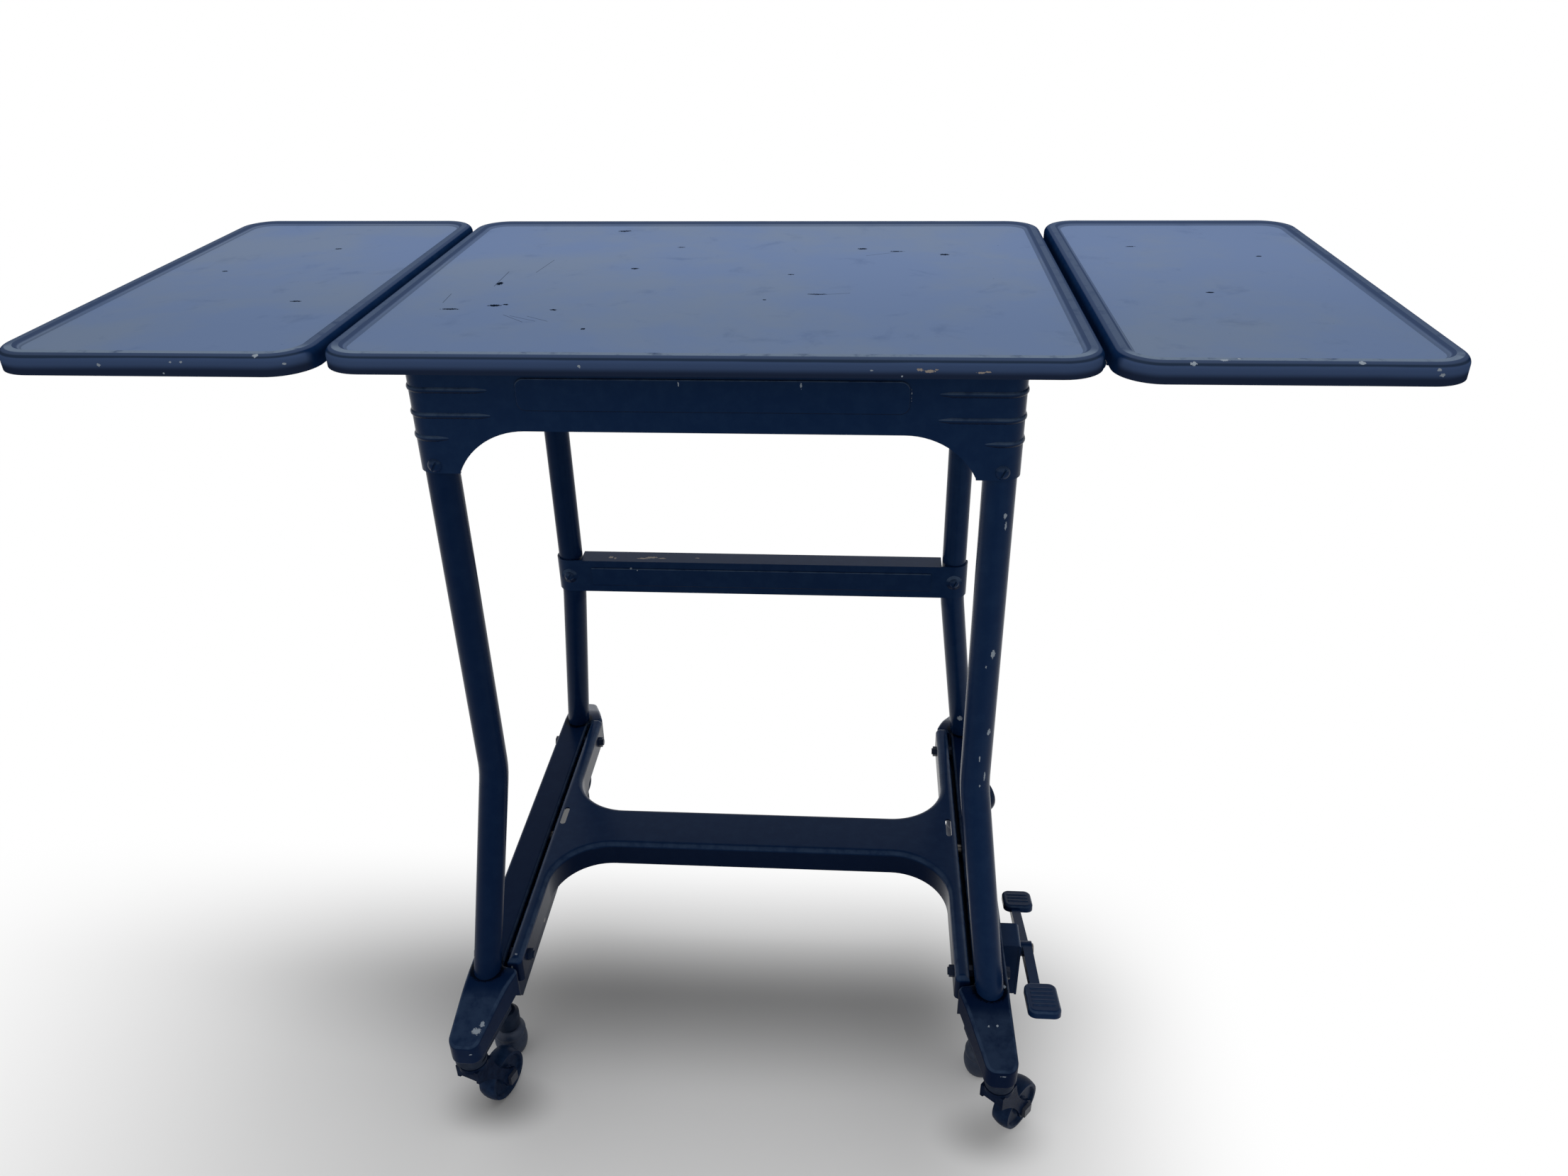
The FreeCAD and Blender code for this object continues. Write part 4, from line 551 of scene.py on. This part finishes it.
casterWheel = {
    "name": "wheelComposition",
    "low": (0.003, 0.010, 0.032), "high": (0.009, 0.022, 0.056),
    "patch": (0.16, 0.19, 0.24), "amount": 0.03,
    "roughness": 0.30, "scale": 130.0, "depth": 0.0001, "specular": 0.03,
}
paint(plainFinish(**casterWheel), *atCorners("_caster_wheel"))

footTip = {
    "name": "tipRubber",
    "low": (0.006, 0.015, 0.040), "high": (0.014, 0.028, 0.062),
    "patch": (0.06, 0.07, 0.09), "amount": 0.25,
    "roughness": 0.5, "scale": 90.0, "depth": 0.00015,
}
paint(plainFinish(**footTip), *atCorners("_foot_tip"))

loweringGear = {
    "name": "oiledSteel",
    "low": (0.10, 0.095, 0.09), "high": (0.20, 0.19, 0.18),
    "patch": (0.08, 0.045, 0.03), "amount": 0.35,
    "roughness": 0.42, "scale": 70.0, "metallic": 1.0,
}
paint(plainFinish(**loweringGear),
      "pedal_shaft", "cross_shaft", "guide_studs", "right_cam_bar", "left_cam_bar", "foot_guides")

baseBolts = {
    "name": "boltPaint",
    "low": (0.004, 0.011, 0.032), "high": (0.010, 0.020, 0.046),
    "patch": (0.04, 0.035, 0.034), "amount": 0.15,
    "roughness": 0.36, "scale": 160.0, "specular": 0.12,
}
paint(plainFinish(**baseBolts), "base_bolts", "base_nuts")
print("hardware finishes done")


# closed front of the pedal's bracket
bracketFront = {
    "inset": 0.0004,         # in from the bracket's outer face and edges
    "thickness": 0.0018,
    "cornerRound": 0.0030,
    "cornerSegments": 5,
    "edgeRound": 0.0004,
    "edgeSegments": 2,
    "near": 0.00001,         # closer than this counts as the same place
    "paintedHighlight": 0.4,
}


def roundEdges(shape, edges, radius, segments):
    bmesh.ops.bevel(shape, geom=edges, offset=radius, offset_type="OFFSET", segments=segments, profile=0.5,
                    affect="EDGES", material=-1)


def makeBracketFront():
    b = bracketFront
    low, high = (Vector(v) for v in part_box("pedal_bracket"))
    low += Vector((0.0, b["inset"], b["inset"]))
    high -= Vector((b["inset"], 0.0, b["inset"]))
    high.y = low.y + b["thickness"]
    shape = bmesh.new()
    bmesh.ops.create_cube(shape, size=1.0)
    bmesh.ops.scale(shape, vec=high - low, verts=shape.verts)
    bmesh.ops.translate(shape, vec=(low + high) / 2, verts=shape.verts)
    outer = []
    for edge in shape.edges:
        start, end = (v.co for v in edge.verts)
        if min(start.x, end.x) > high.x - b["near"] and abs(start.y - end.y) > b["near"]:
            outer.append(edge)
    roundEdges(shape, outer, b["cornerRound"], b["cornerSegments"])
    rim = [edge for edge in shape.edges if all(v.co.y < low.y + b["near"] for v in edge.verts)]
    roundEdges(shape, rim, b["edgeRound"], b["edgeSegments"])
    bmesh.ops.recalc_face_normals(shape, faces=shape.faces)
    mesh = bpy.data.meshes.new("pedalBracketFront")
    shape.to_mesh(mesh)
    shape.free()
    mesh.materials.append(enamel("bracketEnamel", paintedHighlight=b["paintedHighlight"]))
    piece = bpy.data.objects.new("pedalBracketFront", mesh)
    bpy.context.scene.collection.objects.link(piece)
    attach(piece, "frame")


makeBracketFront()
print("pedal bracket front done")


# floor and light, in metres and watts
studio = {
    "floorSize": 30.0,
    "floorGrey": 0.81,
    "floorRoughness": 0.9,
    "fadeBack": (-0.09, 0.12),          # from the floor's grey to white, along y
    "fadeRight": (0.14, 0.46),          # along x
    "fadeLeft": (0.20, 0.95),
    # painted shadow under the table
    "shadeTone": 0.35,                  # times the floor's grey
    "shadePlace": (-0.02, -0.085),
    "shadeSpread": (0.30, 0.058),
    "shadeReach": 1.9,                  # in spreads
    "shadeDepth": 0.70,
    # painted shadows at the wheels
    "wheelPlaces": [(0.214, -0.214), (-0.203, -0.207), (0.19, 0.19), (-0.19, 0.19)],
    "wheelSpread": (0.037, 0.023),
    "wheelReach": 1.6,
    "wheelDepth": 0.72,
    "skyFill": 0.65,
    "lampPower": 16.0,
    "lampSize": 1.3,
    "lampPlace": (0.10, 0.12, 2.2),
}
white = (1.0, 1.0, 1.0, 1.0)


def ovalShade(tree, place, middle, spread, reach, depth):
    flat = vector(tree, "SUBTRACT", place, (*middle, 0.0))
    flat = vector(tree, "MULTIPLY", flat, (1 / spread[0], 1 / spread[1], 0.0))
    return times(tree, ramp(tree, length(tree, flat), reach, 0.0), depth)


def makeFloor():
    s = studio
    shape = bmesh.new()
    bmesh.ops.create_grid(shape, x_segments=1, y_segments=1, size=s["floorSize"] / 2)
    mesh = bpy.data.meshes.new("floor")
    shape.to_mesh(mesh)
    shape.free()
    floor = bpy.data.objects.new("floor", mesh)
    bpy.context.scene.collection.objects.link(floor)
    material, tree, shader, coords = startMaterial("paleFloor")
    place = coords["Object"]
    # painted shadow: darker under the table and at each wheel
    shade = ovalShade(tree, place, s["shadePlace"], s["shadeSpread"], s["shadeReach"], s["shadeDepth"])
    for middle in s["wheelPlaces"]:
        wheel = ovalShade(tree, place, middle, s["wheelSpread"], s["wheelReach"], s["wheelDepth"])
        shade = either(tree, shade, wheel)
    grey = s["floorGrey"]
    dark = grey * s["shadeTone"]
    tree.links.new(mixColour(tree, shade, (grey,) * 3, (dark,) * 3), shader.inputs["Base Color"])
    shader.inputs["Roughness"].default_value = s["floorRoughness"]
    shader.inputs["Specular IOR Level"].default_value = 0.0
    # white further away
    x, y = axes(tree, place)[:2]
    back = opposite(tree, ramp(tree, y, *s["fadeBack"]))
    right = opposite(tree, ramp(tree, x, *s["fadeRight"]))
    left = opposite(tree, ramp(tree, times(tree, x, -1.0), *s["fadeLeft"]))
    fade = opposite(tree, times(tree, back, times(tree, right, left)))
    glow = addNode(tree, "ShaderNodeEmission", {"Color": white, "Strength": 1.0})
    share = times(tree, fade, seenDirectly(tree))
    blend = addNode(tree, "ShaderNodeMixShader", {0: share, 1: shader.outputs[0], 2: glow.outputs[0]})
    showSurface(tree, blend)
    mesh.materials.append(material)


def makeLight():
    s = studio
    world = bpy.data.worlds.new("studioWorld")
    bpy.context.scene.world = world
    world.use_nodes = True
    tree = world.node_tree
    tree.nodes.clear()
    strength = addNode(tree, "ShaderNodeMapRange",
                       {"Value": seenDirectly(tree), "To Min": s["skyFill"], "To Max": 1.0})
    back = addNode(tree, "ShaderNodeBackground", {"Color": white, "Strength": strength.outputs[0]})
    addNode(tree, "ShaderNodeOutputWorld", {"Surface": back.outputs[0]})
    lamp = bpy.data.lights.new("softBox", "AREA")
    lamp.energy = s["lampPower"]
    lamp.shape = "SQUARE"
    lamp.size = s["lampSize"]
    holder = bpy.data.objects.new("softBox", lamp)
    holder.location = s["lampPlace"]
    bpy.context.scene.collection.objects.link(holder)
    bpy.context.scene.view_settings.view_transform = "Standard"


makeFloor()
makeLight()
print("studio done")


# camera
cameraSet = {
    "place": (0.0941, -0.8454, 0.8748),
    "yaw": math.radians(4.18),       # towards the left
    "pitch": math.radians(29.52),    # downwards
    "roll": math.radians(-0.96),
    "lens": 27.01,
    "sensor": 36.0,
}


def makeCamera():
    c = cameraSet
    ahead = Vector((-math.sin(c["yaw"]), math.cos(c["yaw"]), 0.0))
    level = Vector((math.cos(c["yaw"]), math.sin(c["yaw"]), 0.0))
    up = Vector((0.0, 0.0, 1.0))
    look = ahead * math.cos(c["pitch"]) - up * math.sin(c["pitch"])
    above = up * math.cos(c["pitch"]) + ahead * math.sin(c["pitch"])
    right = level * math.cos(c["roll"]) + above * math.sin(c["roll"])
    top = above * math.cos(c["roll"]) - level * math.sin(c["roll"])
    data = bpy.data.cameras.new("camera")
    data.lens = c["lens"]
    data.sensor_width = c["sensor"]
    data.sensor_fit = "HORIZONTAL"
    camera = bpy.data.objects.new("camera", data)
    turn = Matrix((right, top, -look)).transposed().to_4x4()
    camera.matrix_world = Matrix.Translation(c["place"]) @ turn
    bpy.context.scene.collection.objects.link(camera)
    bpy.context.scene.camera = camera


makeCamera()
print("camera done")
